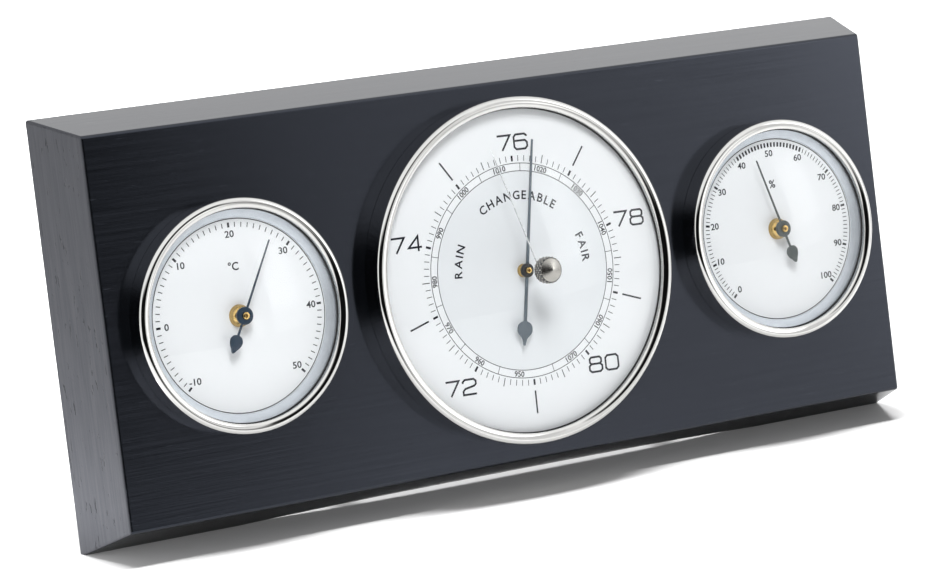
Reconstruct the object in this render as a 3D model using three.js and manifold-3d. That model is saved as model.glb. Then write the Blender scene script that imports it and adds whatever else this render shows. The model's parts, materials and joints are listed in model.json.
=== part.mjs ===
// Desk weather station: a bevelled wooden block that leans back on two pegs and carries
// a thermometer, an aneroid barometer and a hygrometer side by side.
// Millimetres, +Z up, dials facing -Y. Every gauge is built in its own frame: x right,
// y up the dial, z out of the dial, with z = 0 at the front face of the block.
import * as THREE from 'three';
import { mergeVertices } from 'three/addons/utils/BufferGeometryUtils.js';
import { RoundedBoxGeometry } from 'three/addons/geometries/RoundedBoxGeometry.js';
import Module from 'manifold-3d';

const wasm = await Module();
wasm.setup();

// Clearances
const FIT = 0.3; // between pieces that seat on each other
const RUN = 0.3; // between a turning shaft and its hole
const SWEEP = 0.4; // between a hand and what it sweeps past

// Block and stand
const LEAN_DEG = 13;
const BLOCK_BEVEL = 6.4; // how far each side runs out from front to back
const BLOCK_EDGE_RADIUS = 0.8;
const END_MARGIN = 7.7; // small bezel to the end of the front face
const TOP_MARGIN = 4.8; // large bezel to the top and bottom of the front face
const BEZEL_GAP = 9.8; // between neighbouring bezels
const BACK_RECESS = 1.6; // backs of the cases to the back face
const REST_CUT = 1; // planed off the sharp resting edge
const REST_LAND = 50; // length of the flat left at each end of that edge
const ARCH_HEIGHT = 2.6; // hollow of the edge between the lands
const ARCH_POWER = 3; // how flat the middle of the hollow is
const LEG_HEIGHT = 14; // peg above the resting edge, measured along the back
const LEG_SPREAD = 113; // between the two pegs
const LEG_RADIUS = 2.5;
const LEG_THREAD_RADIUS = 2;
const INSERT_WALL = 1.4;
const INSERT_LENGTH = 10;
const TIP_WALL = 0.9;
const TIP_LENGTH = 11;
const TIP_END = 2; // rubber beyond the end of the peg
const FOOT_CUT = 0.6; // worn flat of the rubber tip

// Bezels, glasses, dials and cases
const BARO_BEZEL_RADIUS = 51.5;
const BARO_BEZEL_PROUD = 8;
const BARO_LIP_WIDTH = 3.3;
const SMALL_BEZEL_RADIUS = 33.7;
const SMALL_BEZEL_PROUD = 7.1;
const SMALL_LIP_WIDTH = 3;
const BEZEL_WALL = 1;
const BEAD_WIDTH = 1.3; // of the round outer side of a bezel's front
const BEAD_HEIGHT = 1; // of that side
const BEAD_DROP = 0.6; // from the bead's crown to the edge of the lip
const LIP_THICKNESS = 1.9; // at its inner edge, below the bead's crown
const GLASS_THICKNESS = 1;
const REFLECTOR_HEIGHT = 0.9;
const REFLECTOR_WIDTH = 4.4; // from its outer edge to the ring that frames the dial
const REFLECTOR_LIP = 0.2;
const DIAL_THICKNESS = 0.5;
const CASE_WALL = 0.8;
const CASE_FLANGE = 2.5;
const VENT_RADIUS = 1.6;
const VENT_CIRCLE = 17;
const VENT_COUNT = 6;

// Pointers and bushes
const ARBOR_RADIUS = 0.6;
const ARBOR_TIP_RADIUS = 1.1;
const ARBOR_TIP_LENGTH = 0.5;
const POINTER_THICKNESS = 0.4;
const HUB_RIM = 0.3; // hub stands this far out of the blade on both sides
const SMALL_BUSH_RADIUS = 3.3;
const BARO_BUSH_RADIUS = 2;
const BUSH_TUBE_RADIUS = 1.6;
const SMALL_BUSH_RISE = 2.1;
const BARO_BUSH_RISE = 1.2;
const SMALL_POINTER = { tip: 23, tail: 11.3, spade: 5.9, leaf: 2, hub: 2.55, root: 0.62, point: 0.36 };
const BARO_POINTER = { tip: 38.8, tail: 22.2, spade: 15, leaf: 2.55, hub: 2.1, root: 0.95, point: 0.55 };
// Spades, as shares of the spade's length and of its half width
const SMALL_SPADE = [[0.08, 0.68], [0.26, 0.98], [0.44, 0.98], [0.63, 0.77], [0.8, 0.46], [0.93, 0.22]];
const BARO_SPADE = [[0.04, 0.5], [0.16, 0.88], [0.33, 1], [0.5, 0.9], [0.62, 0.6], [0.7, 0.34], [0.82, 0.2]];
// Dome of a bush, as shares of its overhang beyond the tube and of its rise
const BUSH_DOME = [[1, 0.3], [0.55, 0.75]];

// Readings at rest, clockwise from the top of the dial
const THERMO_REST_DEG = 28;
const HYGRO_REST_DEG = -18;
const BARO_REST_DEG = 10.5;
const SET_REST_DEG = -12.5;
const BARO_LOW_DEG = -170.8;
const BARO_HIGH_DEG = 153.2;

// Movement of the thermometer and of the hygrometer
const COIL_RADIUS = 9;
const COIL_TURNS = 4;
const COIL_STRIP = 0.5;
const COIL_WIDTH = 5;
const COIL_DROP = 3; // dial to coil
const COIL_POST_RADIUS = 0.8;
const BRIDGE_THICKNESS = 1;
const BRIDGE_WIDTH = 6;
const BRIDGE_FOOT = 3;
const PIVOT_LENGTH = 0.6; // arbor beyond its rear bearing

// Barometer train
const PLATE_THICKNESS = 1;
const PLATE_DROP = 2; // dial to front plate
const PLATE_GAP = 5.4;
const PLATE_MARGIN = 2.2; // plate beyond the last bearing
const GEAR_MODULE = 0.4;
const TOOTH_DEPTH = 1.25; // below the pitch circle, in modules
const TOOTH_HEIGHT = 0.85; // above the pitch circle, in modules
const TOOTH_ROOT = 0.26; // half widths of a tooth as shares of the tooth pitch
const TOOTH_MIDDLE = 0.17;
const TOOTH_TIP = 0.07;
const PINION_TEETH = 8;
const PINION_LENGTH = 2;
const SECTOR_RATIO = 8;
const SECTOR_THICKNESS = 1.2;
const SECTOR_RUNOUT_DEG = 8; // teeth beyond the working arc
const SECTOR_HUB_RADIUS = 2;
const SECTOR_ARBOR_RADIUS = 0.7;
const SECTOR_WEB = 2.6; // rim behind the teeth
const TAIL_REACH = 5.2;
const TAIL_RADIUS = 0.9;
const TAIL_ARM_WIDTH = 1;
const TAIL_ARM_THICKNESS = 1;
const GEAR_DROP = 1.2; // front plate to the gears
const HAIRSPRING_RADIUS = 4.6;
const HAIRSPRING_TURNS = 2;
const HAIRSPRING_STRIP = 0.25;
const HAIRSPRING_WIDTH = 0.6;
const STUD_RADIUS = 0.6;
const SHORT_PILLAR_RADIUS = 1.2;
const SHORT_PILLAR_CLEAR = 0.8; // round the hairspring and above the sector
const LONG_PILLAR_RADIUS = 2;
const ROCKER_DROP = 3; // rear plate to the rocking shaft
const ROCKER_RADIUS = 0.8;
const CRANK_REACH = 2.5;
const CRANK_RADIUS = 0.5;
const CRANK_BALL_RADIUS = 0.8;
const FINGER_WIDTH = 1.6;
const FINGER_THICKNESS = 0.8;
const POST_THICKNESS = 2.4;
const POST_WIDTH = 5;
const POST_HEAD = 2; // post above the rocking shaft
const STEM_RADIUS = 1.2;
const STEM_LENGTH = 2; // of the stem above the capsule
const STEM_SOCKET = 2; // depth of the capsule's socket for the stem
const CAPSULE_RADIUS = 20;
const CAPSULE_HEIGHT = 6;
const CAPSULE_RIPPLE = 0.5;
const CAPSULE_RIPPLES = 2;
const CAPSULE_RIM = 1.2;
const BASE_THICKNESS = 1;
const BASE_MARGIN = 4; // base plate beyond its pillars
const SCREW_RADIUS = 1.5;
const SCREW_HEAD_RADIUS = 2.4;
const SCREW_SLOT = 0.6;
const SCREW_REACH = 2.5; // shank above the base plate

// Hand set by the user
const SET_HAND_SHORTFALL = 0.8; // shorter than the pointer
const SET_HAND_THICKNESS = 0.4;
const SET_HAND_WIDTH = 0.45;
const SET_HUB_RADIUS = 1.9;
const SET_HUB_HEIGHT = 0.9;
const SPINDLE_RADIUS = 1;
const GLASS_BUSH_WALL = 0.7;
const GLASS_BUSH_FLANGE = 0.9;
const GLASS_BUSH_HEAD = 0.3;
const KNOB_RADIUS = 3.9;
const KNOB_LENGTH = 4;
const KNOB_CONE = 0.7;
const KNOB_CHAMFER = 0.5;
const KNURL_COUNT = 22;
const KNURL_DEPTH = 0.3;

// Facets
const BIG_FACETS = 40;
const MID_FACETS = 32;
const CAPSULE_FACETS = 20;
const SMALL_FACETS = 16;
const TINY_FACETS = 10;
const GLASS_RINGS = 3;
const SPIRAL_STEPS = 14;
const CURVE_STEPS = 4;
const ARCH_STEPS = 12;
const EDGE_STEPS = 2;
const BEAD_STEPS = 3;
const WELD = 1e-4; // vertices closer than this are one

const lean = THREE.MathUtils.degToRad(LEAN_DEG);

// Finishes
const finish = (color, roughness, metalness) => () =>
  new THREE.MeshStandardMaterial({ color, roughness, metalness, flatShading: true });
const blackLacquer = finish(0x17181b, 0.5, 0);
const polishedSteel = finish(0xd9d6cf, 0.12, 1);
const satinSteel = finish(0xb9bcc0, 0.35, 1);
const zincSteel = finish(0x9b9fa3, 0.45, 1);
const brass = finish(0xb98a3c, 0.3, 1);
const bluedSteel = finish(0x24303c, 0.4, 0.6);
const slateSteel = finish(0x4b5662, 0.4, 0.6);
const copperBronze = finish(0x9a6a45, 0.35, 1);
const silveredWhite = finish(0xf1f3f5, 0.5, 0.1);
const clearGlass = finish(0xeef4f6, 0.03, 0);
const blackRubber = finish(0x1b1b1b, 0.9, 0);

// Closed mesh with shared vertices and no collapsed triangles
function solid(geometry) {
  const bare = new THREE.BufferGeometry();
  bare.setAttribute('position', geometry.getAttribute('position').clone());
  bare.setIndex(geometry.getIndex());
  const merged = mergeVertices(bare, WELD);
  const source = merged.getIndex().array;
  const kept = [];
  for (let i = 0; i < source.length; i += 3) {
    const [a, b, c] = source.slice(i, i + 3);
    if (a !== b && b !== c && c !== a) kept.push(a, b, c);
  }
  merged.setIndex(kept);
  return merged;
}

function toManifold(geometry) {
  const mesh = new wasm.Mesh({
    numProp: 3,
    vertProperties: new Float32Array(geometry.getAttribute('position').array),
    triVerts: new Uint32Array(geometry.getIndex().array),
  });
  return new wasm.Manifold(mesh);
}

function fromManifold(manifold) {
  const mesh = manifold.getMesh();
  const geometry = new THREE.BufferGeometry();
  geometry.setAttribute('position', new THREE.BufferAttribute(mesh.vertProperties, 3));
  geometry.setIndex(new THREE.BufferAttribute(mesh.triVerts, 1));
  return geometry;
}

function joined(first, ...others) {
  const sum = others.reduce((whole, other) => whole.add(toManifold(other)), toManifold(first));
  return fromManifold(sum);
}

function cut(body, ...tools) {
  const rest = tools.reduce((whole, tool) => whole.subtract(toManifold(tool)), toManifold(body));
  return fromManifold(rest);
}

// Revolves [radius, height] points about z. An outline that leaves the axis is closed to a ring.
function turned(outline, facets) {
  const onAxis = outline[0][0] === 0;
  const loop = onAxis ? outline : [...outline, outline[0]];
  const points = loop.map(([radius, height]) => new THREE.Vector2(radius, height));
  const area = points.reduce((sum, p, i) => sum + p.cross(points[(i + 1) % points.length]), 0);
  if (area < 0) points.reverse();
  return solid(new THREE.LatheGeometry(points, facets).rotateX(Math.PI / 2));
}

const rod = (radius, low, high, facets) =>
  turned([[0, low], [radius, low], [radius, high], [0, high]], facets);

const tube = (inner, outer, low, high, facets) =>
  turned([[inner, low], [outer, low], [outer, high], [inner, high]], facets);

// Plate of a flat outline between two heights
function plate(shape, low, high, curveSegments = CURVE_STEPS) {
  const options = { depth: high - low, bevelEnabled: false, curveSegments };
  return solid(new THREE.ExtrudeGeometry(shape, options).translate(0, 0, low));
}

function box(sizeX, sizeY, sizeZ, x, y, z) {
  return solid(new THREE.BoxGeometry(sizeX, sizeY, sizeZ).translate(x, y, z));
}

function outlineOf(points) {
  return new THREE.Shape(points.map(([x, y]) => new THREE.Vector2(x, y)));
}

function rectangle(left, right, bottom, top) {
  return outlineOf([[left, bottom], [right, bottom], [right, top], [left, top]]);
}

// Strip wound outwards in whole turns, ending on the x axis
function spiral(inner, outer, turns, strip) {
  const steps = turns * SPIRAL_STEPS;
  const side = (offset) => Array.from({ length: steps + 1 }, (_, i) => {
    const angle = (2 * Math.PI * turns * i) / steps;
    const radius = inner + ((outer - inner) * i) / steps + offset;
    return [radius * Math.cos(angle), radius * Math.sin(angle)];
  });
  return outlineOf([...side(strip / 2), ...side(-strip / 2).reverse()]);
}

function part(parent, name, geometry, material) {
  const mesh = new THREE.Mesh(geometry, material());
  mesh.name = name;
  parent.add(mesh);
  return mesh;
}

const clockwise = (mesh, degrees) => mesh.rotateZ(-THREE.MathUtils.degToRad(degrees));

// Heights and radii that follow from one gauge's bezel
function gaugeStack(bezelRadius, proud, lipWidth, reflectorRoom) {
  const seatRadius = bezelRadius - BEZEL_WALL - FIT;
  const lipRadius = bezelRadius - lipWidth;
  const domeRadius = lipRadius - FIT;
  const glassTop = proud - LIP_THICKNESS - FIT;
  const glassUnder = glassTop - GLASS_THICKNESS;
  const dialTop = glassUnder - FIT - reflectorRoom;
  const dialUnder = dialTop - DIAL_THICKNESS;
  const caseRadius = seatRadius - CASE_FLANGE;
  return {
    bezelRadius,
    proud,
    seatRadius,
    lipRadius,
    domeRadius,
    glassUnder,
    dialTop,
    dialUnder,
    caseRadius,
  };
}

const reflectorRoom = REFLECTOR_HEIGHT + FIT;
const small = gaugeStack(SMALL_BEZEL_RADIUS, SMALL_BEZEL_PROUD, SMALL_LIP_WIDTH, reflectorRoom);
const baro = gaugeStack(BARO_BEZEL_RADIUS, BARO_BEZEL_PROUD, BARO_LIP_WIDTH, 0);

// Ring whose front is a bead, rounder on the outside than towards the glass
function bezel(stack, facets) {
  const { bezelRadius, proud, lipRadius } = stack;
  const inner = bezelRadius - BEZEL_WALL;
  const crown = bezelRadius - BEAD_WIDTH;
  const bead = Array.from({ length: 2 * BEAD_STEPS + 1 }, (_, i) => {
    const angle = (Math.PI * i) / (2 * BEAD_STEPS);
    const outside = i < BEAD_STEPS;
    const width = outside ? BEAD_WIDTH : crown - lipRadius;
    const drop = outside ? BEAD_HEIGHT : BEAD_DROP;
    return [crown + width * Math.cos(angle), proud - drop * (1 - Math.sin(angle))];
  });
  return turned([
    [inner, FIT],
    [bezelRadius, FIT],
    ...bead,
    [lipRadius, proud - LIP_THICKNESS],
    [inner, proud - LIP_THICKNESS],
  ], facets);
}

// Rise of a domed glass whose underside passes over a given height at a given radius
function glassRise(stack, radius, height) {
  return (height - stack.glassUnder) / (1 - (radius / stack.domeRadius) ** 2);
}

const undersideAt = (stack, rise, radius) =>
  stack.glassUnder + rise * (1 - (radius / stack.domeRadius) ** 2);

// Dome with a flat edge under the bezel's lip
function glass(stack, rise, holeRadius, facets) {
  const under = [];
  for (let i = 0; i <= GLASS_RINGS; i += 1) {
    const radius = holeRadius + ((stack.domeRadius - holeRadius) * i) / GLASS_RINGS;
    under.push([radius, undersideAt(stack, rise, radius)]);
  }
  under.push([stack.seatRadius, stack.glassUnder]);
  const over = under.map(([radius, height]) => [radius, height + GLASS_THICKNESS]).reverse();
  return turned([...under, ...over], facets);
}

function dialPlate(stack, facets) {
  const { seatRadius, dialUnder, dialTop } = stack;
  return tube(BUSH_TUBE_RADIUS + FIT, seatRadius, dialUnder, dialTop, facets);
}

// Cup with an out-turned rim under the dial and vents in its back
function gaugeCase(stack, back, facets, vents) {
  const { caseRadius, seatRadius, dialUnder } = stack;
  const rim = dialUnder - FIT;
  const inner = caseRadius - CASE_WALL;
  const cup = turned([
    [0, back],
    [caseRadius, back],
    [caseRadius, rim - CASE_WALL],
    [seatRadius, rim - CASE_WALL],
    [seatRadius, rim],
    [inner, rim],
    [inner, back + CASE_WALL],
    [0, back + CASE_WALL],
  ], facets);
  const holes = vents.map(({ radius, x, y }) =>
    rod(radius, back - CASE_WALL, back + 2 * CASE_WALL, TINY_FACETS).translate(x, y, 0));
  return holes.length ? cut(cup, ...holes) : cup;
}

// Brass bush in the dial: a tube behind it and a dome in front
function bush(stack, radius, rear, rise) {
  const bore = ARBOR_RADIUS + RUN;
  const seat = stack.dialTop + FIT;
  return turned([
    [bore, rear],
    [BUSH_TUBE_RADIUS, rear],
    [BUSH_TUBE_RADIUS, seat],
    [radius, seat],
    ...BUSH_DOME.map(([out, up]) => [
      BUSH_TUBE_RADIUS + (radius - BUSH_TUBE_RADIUS) * out,
      seat + rise * up,
    ]),
    [BUSH_TUBE_RADIUS, seat + rise],
    [bore, seat + rise],
  ], SMALL_FACETS);
}

// Underside of a blade whose hub runs just clear of the bush
const bladeOver = (stack, rise) => stack.dialTop + FIT + rise + RUN + HUB_RIM;

// Pointer's outline from the tip down one side, round the spade and up the other
function pointerOutline({ tip, tail, spade, leaf, root, point }, spadeShares) {
  const side = [
    [point / 2, tip],
    [root / 2, -spade],
    ...spadeShares.map(([along, across]) => [leaf * across, -spade - (tail - spade) * along]),
    [point / 2, -tail],
  ];
  const mirrored = side.map(([x, y]) => [-x, y]);
  return outlineOf([...mirrored, ...side.reverse()]);
}

function pointer(form, spadeShares, under) {
  const top = under + POINTER_THICKNESS;
  const bore = ARBOR_RADIUS + FIT;
  const blade = plate(pointerOutline(form, spadeShares), under, top);
  const hub = rod(form.hub, under - HUB_RIM, top + HUB_RIM, SMALL_FACETS);
  const hole = rod(bore, under - 2 * HUB_RIM, top + 2 * HUB_RIM, TINY_FACETS);
  return cut(joined(blade, hub), hole);
}

// Arbor from its rear pivot to the cap in front of the pointer's hub
function arbor(rear, hubTop) {
  const cap = hubTop + FIT;
  return turned([
    [0, rear],
    [ARBOR_RADIUS, rear],
    [ARBOR_RADIUS, cap],
    [ARBOR_TIP_RADIUS, cap],
    [ARBOR_TIP_RADIUS, cap + ARBOR_TIP_LENGTH],
    [0, cap + ARBOR_TIP_LENGTH],
  ], SMALL_FACETS);
}

// Heights inside the thermometer and hygrometer, from the dial back
const smallPointerUnder = bladeOver(small, SMALL_BUSH_RISE);
const smallPointerTop = smallPointerUnder + POINTER_THICKNESS;
const smallRise = glassRise(small, SMALL_POINTER.tip, smallPointerTop + SWEEP);
const coilTop = small.dialUnder - COIL_DROP;
const coilUnder = coilTop - COIL_WIDTH;
const bridgeTop = coilUnder - SWEEP;
const bridgeUnder = bridgeTop - BRIDGE_THICKNESS;
const coilPostX = COIL_RADIUS + COIL_STRIP / 2 + FIT + COIL_POST_RADIUS;

// U-shaped bridge hung from the dial, with the arbor's rear bearing in its bar
function coilBridge() {
  const legInner = coilPostX + COIL_POST_RADIUS + FIT;
  const legOuter = legInner + BRIDGE_THICKNESS;
  const footOuter = legOuter + BRIDGE_FOOT;
  const footTop = small.dialUnder - FIT;
  const footUnder = footTop - BRIDGE_THICKNESS;
  const half = [
    [legOuter, bridgeUnder],
    [legOuter, footUnder],
    [footOuter, footUnder],
    [footOuter, footTop],
    [legInner, footTop],
    [legInner, bridgeTop],
  ];
  const mirrored = half.map(([x, z]) => [-x, z]).reverse();
  const profile = plate(outlineOf([...half, ...mirrored]), -BRIDGE_WIDTH / 2, BRIDGE_WIDTH / 2);
  profile.rotateX(Math.PI / 2);
  const bearing = rod(ARBOR_RADIUS + RUN, bridgeUnder - FIT, bridgeTop + FIT, TINY_FACETS);
  return cut(profile, bearing);
}

function ventRing() {
  return Array.from({ length: VENT_COUNT }, (_, i) => {
    const angle = (2 * Math.PI * i) / VENT_COUNT;
    return { radius: VENT_RADIUS, x: VENT_CIRCLE * Math.cos(angle), y: VENT_CIRCLE * Math.sin(angle) };
  });
}

function smallGauge(name, restDeg, pointerFinish, coilFinish) {
  const gauge = new THREE.Group();
  const reflectorUnder = small.dialTop + FIT;
  const reflectorInner = small.seatRadius - REFLECTOR_WIDTH;
  const reflector = turned([
    [reflectorInner, reflectorUnder],
    [small.seatRadius, reflectorUnder],
    [small.seatRadius, reflectorUnder + REFLECTOR_HEIGHT],
    [small.lipRadius, reflectorUnder + REFLECTOR_HEIGHT],
    [reflectorInner, reflectorUnder + REFLECTOR_LIP],
  ], MID_FACETS);
  const coilInner = ARBOR_RADIUS + RUN + COIL_STRIP;
  const strip = spiral(coilInner, COIL_RADIUS, COIL_TURNS, COIL_STRIP);
  const post = rod(COIL_POST_RADIUS, bridgeTop + FIT, coilTop, TINY_FACETS);
  const smallBush = bush(small, SMALL_BUSH_RADIUS, small.dialUnder - FIT, SMALL_BUSH_RISE);
  const hubTop = smallPointerTop + HUB_RIM;
  part(gauge, `${name}_case`, gaugeCase(small, caseBack, MID_FACETS, ventRing()), zincSteel);
  part(gauge, `${name}_bezel`, bezel(small, MID_FACETS), polishedSteel);
  part(gauge, `${name}_glass`, glass(small, smallRise, 0, MID_FACETS), clearGlass);
  part(gauge, `${name}_reflector`, reflector, satinSteel);
  part(gauge, `${name}_dial`, dialPlate(small, MID_FACETS), silveredWhite);
  part(gauge, `${name}_bush`, smallBush, brass);
  part(gauge, `${name}_bridge`, coilBridge(), brass);
  part(gauge, `${name}_coil`, plate(strip, coilUnder, coilTop), coilFinish);
  part(gauge, `${name}_coil_post`, post.translate(coilPostX, 0, 0), brass);
  const shaft = arbor(bridgeUnder - PIVOT_LENGTH, hubTop);
  const hand = pointer(SMALL_POINTER, SMALL_SPADE, smallPointerUnder);
  clockwise(part(gauge, `${name}_arbor`, shaft, brass), restDeg);
  clockwise(part(gauge, `${name}_pointer`, hand, pointerFinish), restDeg);
  return gauge;
}

// Heights inside the barometer, from the dial back
const frontPlateTop = baro.dialUnder - PLATE_DROP;
const frontPlateUnder = frontPlateTop - PLATE_THICKNESS;
const rearPlateTop = frontPlateUnder - PLATE_GAP;
const rearPlateUnder = rearPlateTop - PLATE_THICKNESS;
const sectorTop = frontPlateUnder - GEAR_DROP;
const sectorUnder = sectorTop - SECTOR_THICKNESS;
const gearMiddle = (sectorTop + sectorUnder) / 2;
const rockerZ = rearPlateUnder - ROCKER_DROP;
const rockerY = -CRANK_REACH;
const stemTop = rockerZ - CRANK_BALL_RADIUS - FIT;
const capsuleTop = stemTop - STEM_LENGTH;
const capsuleUnder = capsuleTop - CAPSULE_HEIGHT;
const baseTop = capsuleUnder - FIT;
const baseUnder = baseTop - BASE_THICKNESS;
const caseBack = baseUnder - FIT - CASE_WALL; // the other two cases are as deep
const baroPointerUnder = bladeOver(baro, BARO_BUSH_RISE);
const baroPointerTop = baroPointerUnder + POINTER_THICKNESS;
const overHands = baroPointerTop + SWEEP + SET_HAND_THICKNESS + SWEEP;
const baroRise = glassRise(baro, BARO_POINTER.tip, overHands);
const apexUnder = undersideAt(baro, baroRise, 0);

// Where the train stands at rest, counted from the middle of its travel
const middleDeg = (BARO_LOW_DEG + BARO_HIGH_DEG) / 2;
const trainTurn = THREE.MathUtils.degToRad(BARO_REST_DEG - middleDeg);
const pinionRadius = (GEAR_MODULE * PINION_TEETH) / 2;
const sectorRadius = pinionRadius * SECTOR_RATIO;
const sectorX = pinionRadius + sectorRadius;
const fingerReach = gearMiddle - rockerZ;
const rockerRatio = TAIL_REACH / fingerReach / SECTOR_RATIO;
const halfTravel = THREE.MathUtils.degToRad((BARO_HIGH_DEG - BARO_LOW_DEG) / 2);
const stemTravel = halfTravel * rockerRatio * CRANK_REACH;
const socketFloor = capsuleTop - STEM_SOCKET;
const tailY = rockerY + FINGER_THICKNESS / 2 + FIT + TAIL_RADIUS;
const tailAngle = Math.asin(tailY / TAIL_REACH);
const fingerX = sectorX + TAIL_REACH * Math.cos(tailAngle);
const longPillarY = CAPSULE_RADIUS + SWEEP + LONG_PILLAR_RADIUS;
const postX = CAPSULE_RADIUS + SWEEP + POST_THICKNESS / 2;
const baseRadius = Math.max(longPillarY, postX) + BASE_MARGIN;
const screwPlace = (CAPSULE_RADIUS + SWEEP + 2 * SCREW_RADIUS) / Math.SQRT2;

// One thin tooth of a gear about an angle, as polar points from root to root
function tooth(pitchRadius, teeth, middle) {
  const step = (2 * Math.PI) / teeth;
  const root = pitchRadius - TOOTH_DEPTH * GEAR_MODULE;
  const tip = pitchRadius + TOOTH_HEIGHT * GEAR_MODULE;
  const flank = [[root, TOOTH_ROOT], [pitchRadius, TOOTH_MIDDLE], [tip, TOOTH_TIP]];
  const rising = flank.map(([radius, share]) => [radius, -share]);
  return [...rising, ...flank.reverse()].map(([radius, share]) => {
    const angle = middle + share * step;
    return [radius * Math.cos(angle), radius * Math.sin(angle)];
  });
}

// Arbor and pinion in one piece; a gap of the pinion faces the sector at the middle of the travel
function pinionArbor() {
  const step = (2 * Math.PI) / PINION_TEETH;
  const shift = THREE.MathUtils.degToRad(middleDeg);
  const leaves = Array.from({ length: PINION_TEETH }, (_, i) =>
    tooth(pinionRadius, PINION_TEETH, (i + 0.5) * step + shift));
  const low = gearMiddle - PINION_LENGTH / 2;
  const pinion = plate(outlineOf(leaves.flat()), low, low + PINION_LENGTH);
  return joined(arbor(rearPlateUnder - PIVOT_LENGTH, baroPointerTop + HUB_RIM), pinion);
}

// Toothed sector about its own arbor, teeth towards -x, with the tail that the finger pushes
function sectorGear() {
  const teethAround = PINION_TEETH * SECTOR_RATIO;
  const travel = (BARO_HIGH_DEG - BARO_LOW_DEG) / SECTOR_RATIO / 2 + SECTOR_RUNOUT_DEG;
  const side = Math.ceil((travel / 360) * teethAround);
  const step = (2 * Math.PI) / teethAround;
  const teeth = [];
  for (let i = -side; i <= side; i += 1) {
    teeth.push(...tooth(sectorRadius, teethAround, Math.PI + i * step));
  }
  const edge = (side + 0.5) * step;
  const rim = sectorRadius - SECTOR_WEB;
  const corner = (radius, angle) => [radius * Math.cos(angle), radius * Math.sin(angle)];
  const web = outlineOf([
    corner(rim, Math.PI - edge),
    ...teeth,
    corner(rim, Math.PI + edge),
    corner(SECTOR_HUB_RADIUS / 2, Math.PI + edge),
    corner(SECTOR_HUB_RADIUS / 2, Math.PI - edge),
  ]);
  const arm = box(TAIL_REACH, TAIL_ARM_WIDTH, TAIL_ARM_THICKNESS, TAIL_REACH / 2, 0, gearMiddle);
  const head = rod(TAIL_RADIUS, sectorUnder, sectorTop, TINY_FACETS).translate(TAIL_REACH, 0, 0);
  const hub = rod(SECTOR_HUB_RADIUS, sectorUnder - FIT, sectorTop + FIT, SMALL_FACETS);
  const bore = rod(SECTOR_ARBOR_RADIUS + FIT, sectorUnder - 2 * FIT, sectorTop + 2 * FIT, TINY_FACETS);
  const tail = joined(head, arm).rotateZ(tailAngle);
  return cut(joined(plate(web, sectorUnder, sectorTop), hub, tail), bore);
}

// Rocking shaft along x with the crank over the capsule and the finger behind the sector's tail
function rockingShaft() {
  const half = postX + POST_THICKNESS / 2 + PIVOT_LENGTH;
  const fingerTop = sectorTop - rockerZ;
  const shaft = rod(ROCKER_RADIUS, -half, half, TINY_FACETS).rotateY(Math.PI / 2);
  const finger = box(FINGER_WIDTH, FINGER_THICKNESS, fingerTop, fingerX, 0, fingerTop / 2);
  const crank = rod(CRANK_RADIUS, 0, CRANK_REACH, TINY_FACETS).rotateX(-Math.PI / 2);
  const sphere = new THREE.SphereGeometry(CRANK_BALL_RADIUS, TINY_FACETS, TINY_FACETS / 2);
  const ball = solid(sphere.translate(0, CRANK_REACH, 0));
  return joined(shaft, finger, crank, ball);
}

// Bellows of the barometer: rings pressed into both faces and a socket for the stem
function capsule() {
  const middle = (capsuleTop + capsuleUnder) / 2;
  const crest = CAPSULE_HEIGHT / 2;
  const pitch = (CAPSULE_RADIUS - CAPSULE_RIM - STEM_RADIUS * 2) / CAPSULE_RIPPLES;
  const face = [[0, crest], [STEM_RADIUS * 2, crest]];
  for (let i = 0; i < CAPSULE_RIPPLES; i += 1) {
    const start = STEM_RADIUS * 2 + i * pitch;
    face.push([start + pitch / 2, crest - CAPSULE_RIPPLE * 2]);
    face.push([start + pitch, crest - CAPSULE_RIPPLE]);
  }
  const upper = [...face, [CAPSULE_RADIUS, CAPSULE_RIM / 2]];
  const lower = upper.map(([radius, height]) => [radius, -height]).reverse();
  const outline = [...upper, ...lower].map(([radius, height]) => [radius, middle + height]);
  const socket = rod(STEM_RADIUS + RUN, socketFloor, capsuleTop + FIT, SMALL_FACETS);
  return cut(turned(outline, CAPSULE_FACETS), socket);
}

// Screw from the back of the case into the base plate, its slot in the back
function slottedScrew(x, y) {
  const headUnder = caseBack;
  const headTop = baseUnder - FIT;
  const head = turned([
    [0, headUnder],
    [SCREW_HEAD_RADIUS, headUnder],
    [SCREW_HEAD_RADIUS, headTop],
    [SCREW_RADIUS, headTop],
    [SCREW_RADIUS, baseTop + SCREW_REACH],
    [0, baseTop + SCREW_REACH],
  ], SMALL_FACETS);
  const slot = box(3 * SCREW_HEAD_RADIUS, SCREW_SLOT, CASE_WALL, 0, 0, headUnder);
  return cut(head, slot).translate(x, y, 0);
}

function withHoles(shape, holes) {
  holes.forEach(({ radius, x, y }) => {
    const hole = new THREE.Path();
    hole.absarc(x, y, radius, 0, 2 * Math.PI, true);
    shape.holes.push(hole);
  });
  return shape;
}

// Short pillars stand clear of the hairspring and of the sector's upper end
const pillarRoom = SHORT_PILLAR_CLEAR + SHORT_PILLAR_RADIUS;
const sectorSpanDeg = (BARO_HIGH_DEG - BARO_LOW_DEG) / SECTOR_RATIO + SECTOR_RUNOUT_DEG;
const sectorCrest = sectorRadius * Math.sin(THREE.MathUtils.degToRad(sectorSpanDeg));
const shortPillars = [
  { name: 'barometer_short_pillar_left', x: 0, y: -HAIRSPRING_RADIUS - pillarRoom },
  { name: 'barometer_short_pillar_right', x: sectorX, y: sectorCrest + pillarRoom },
];
const screws = [
  { name: 'barometer_adjusting_screw', x: screwPlace, y: -screwPlace },
  { name: 'barometer_base_screw_left', x: -screwPlace, y: -screwPlace },
  { name: 'barometer_base_screw_right', x: screwPlace, y: screwPlace },
];

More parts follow.
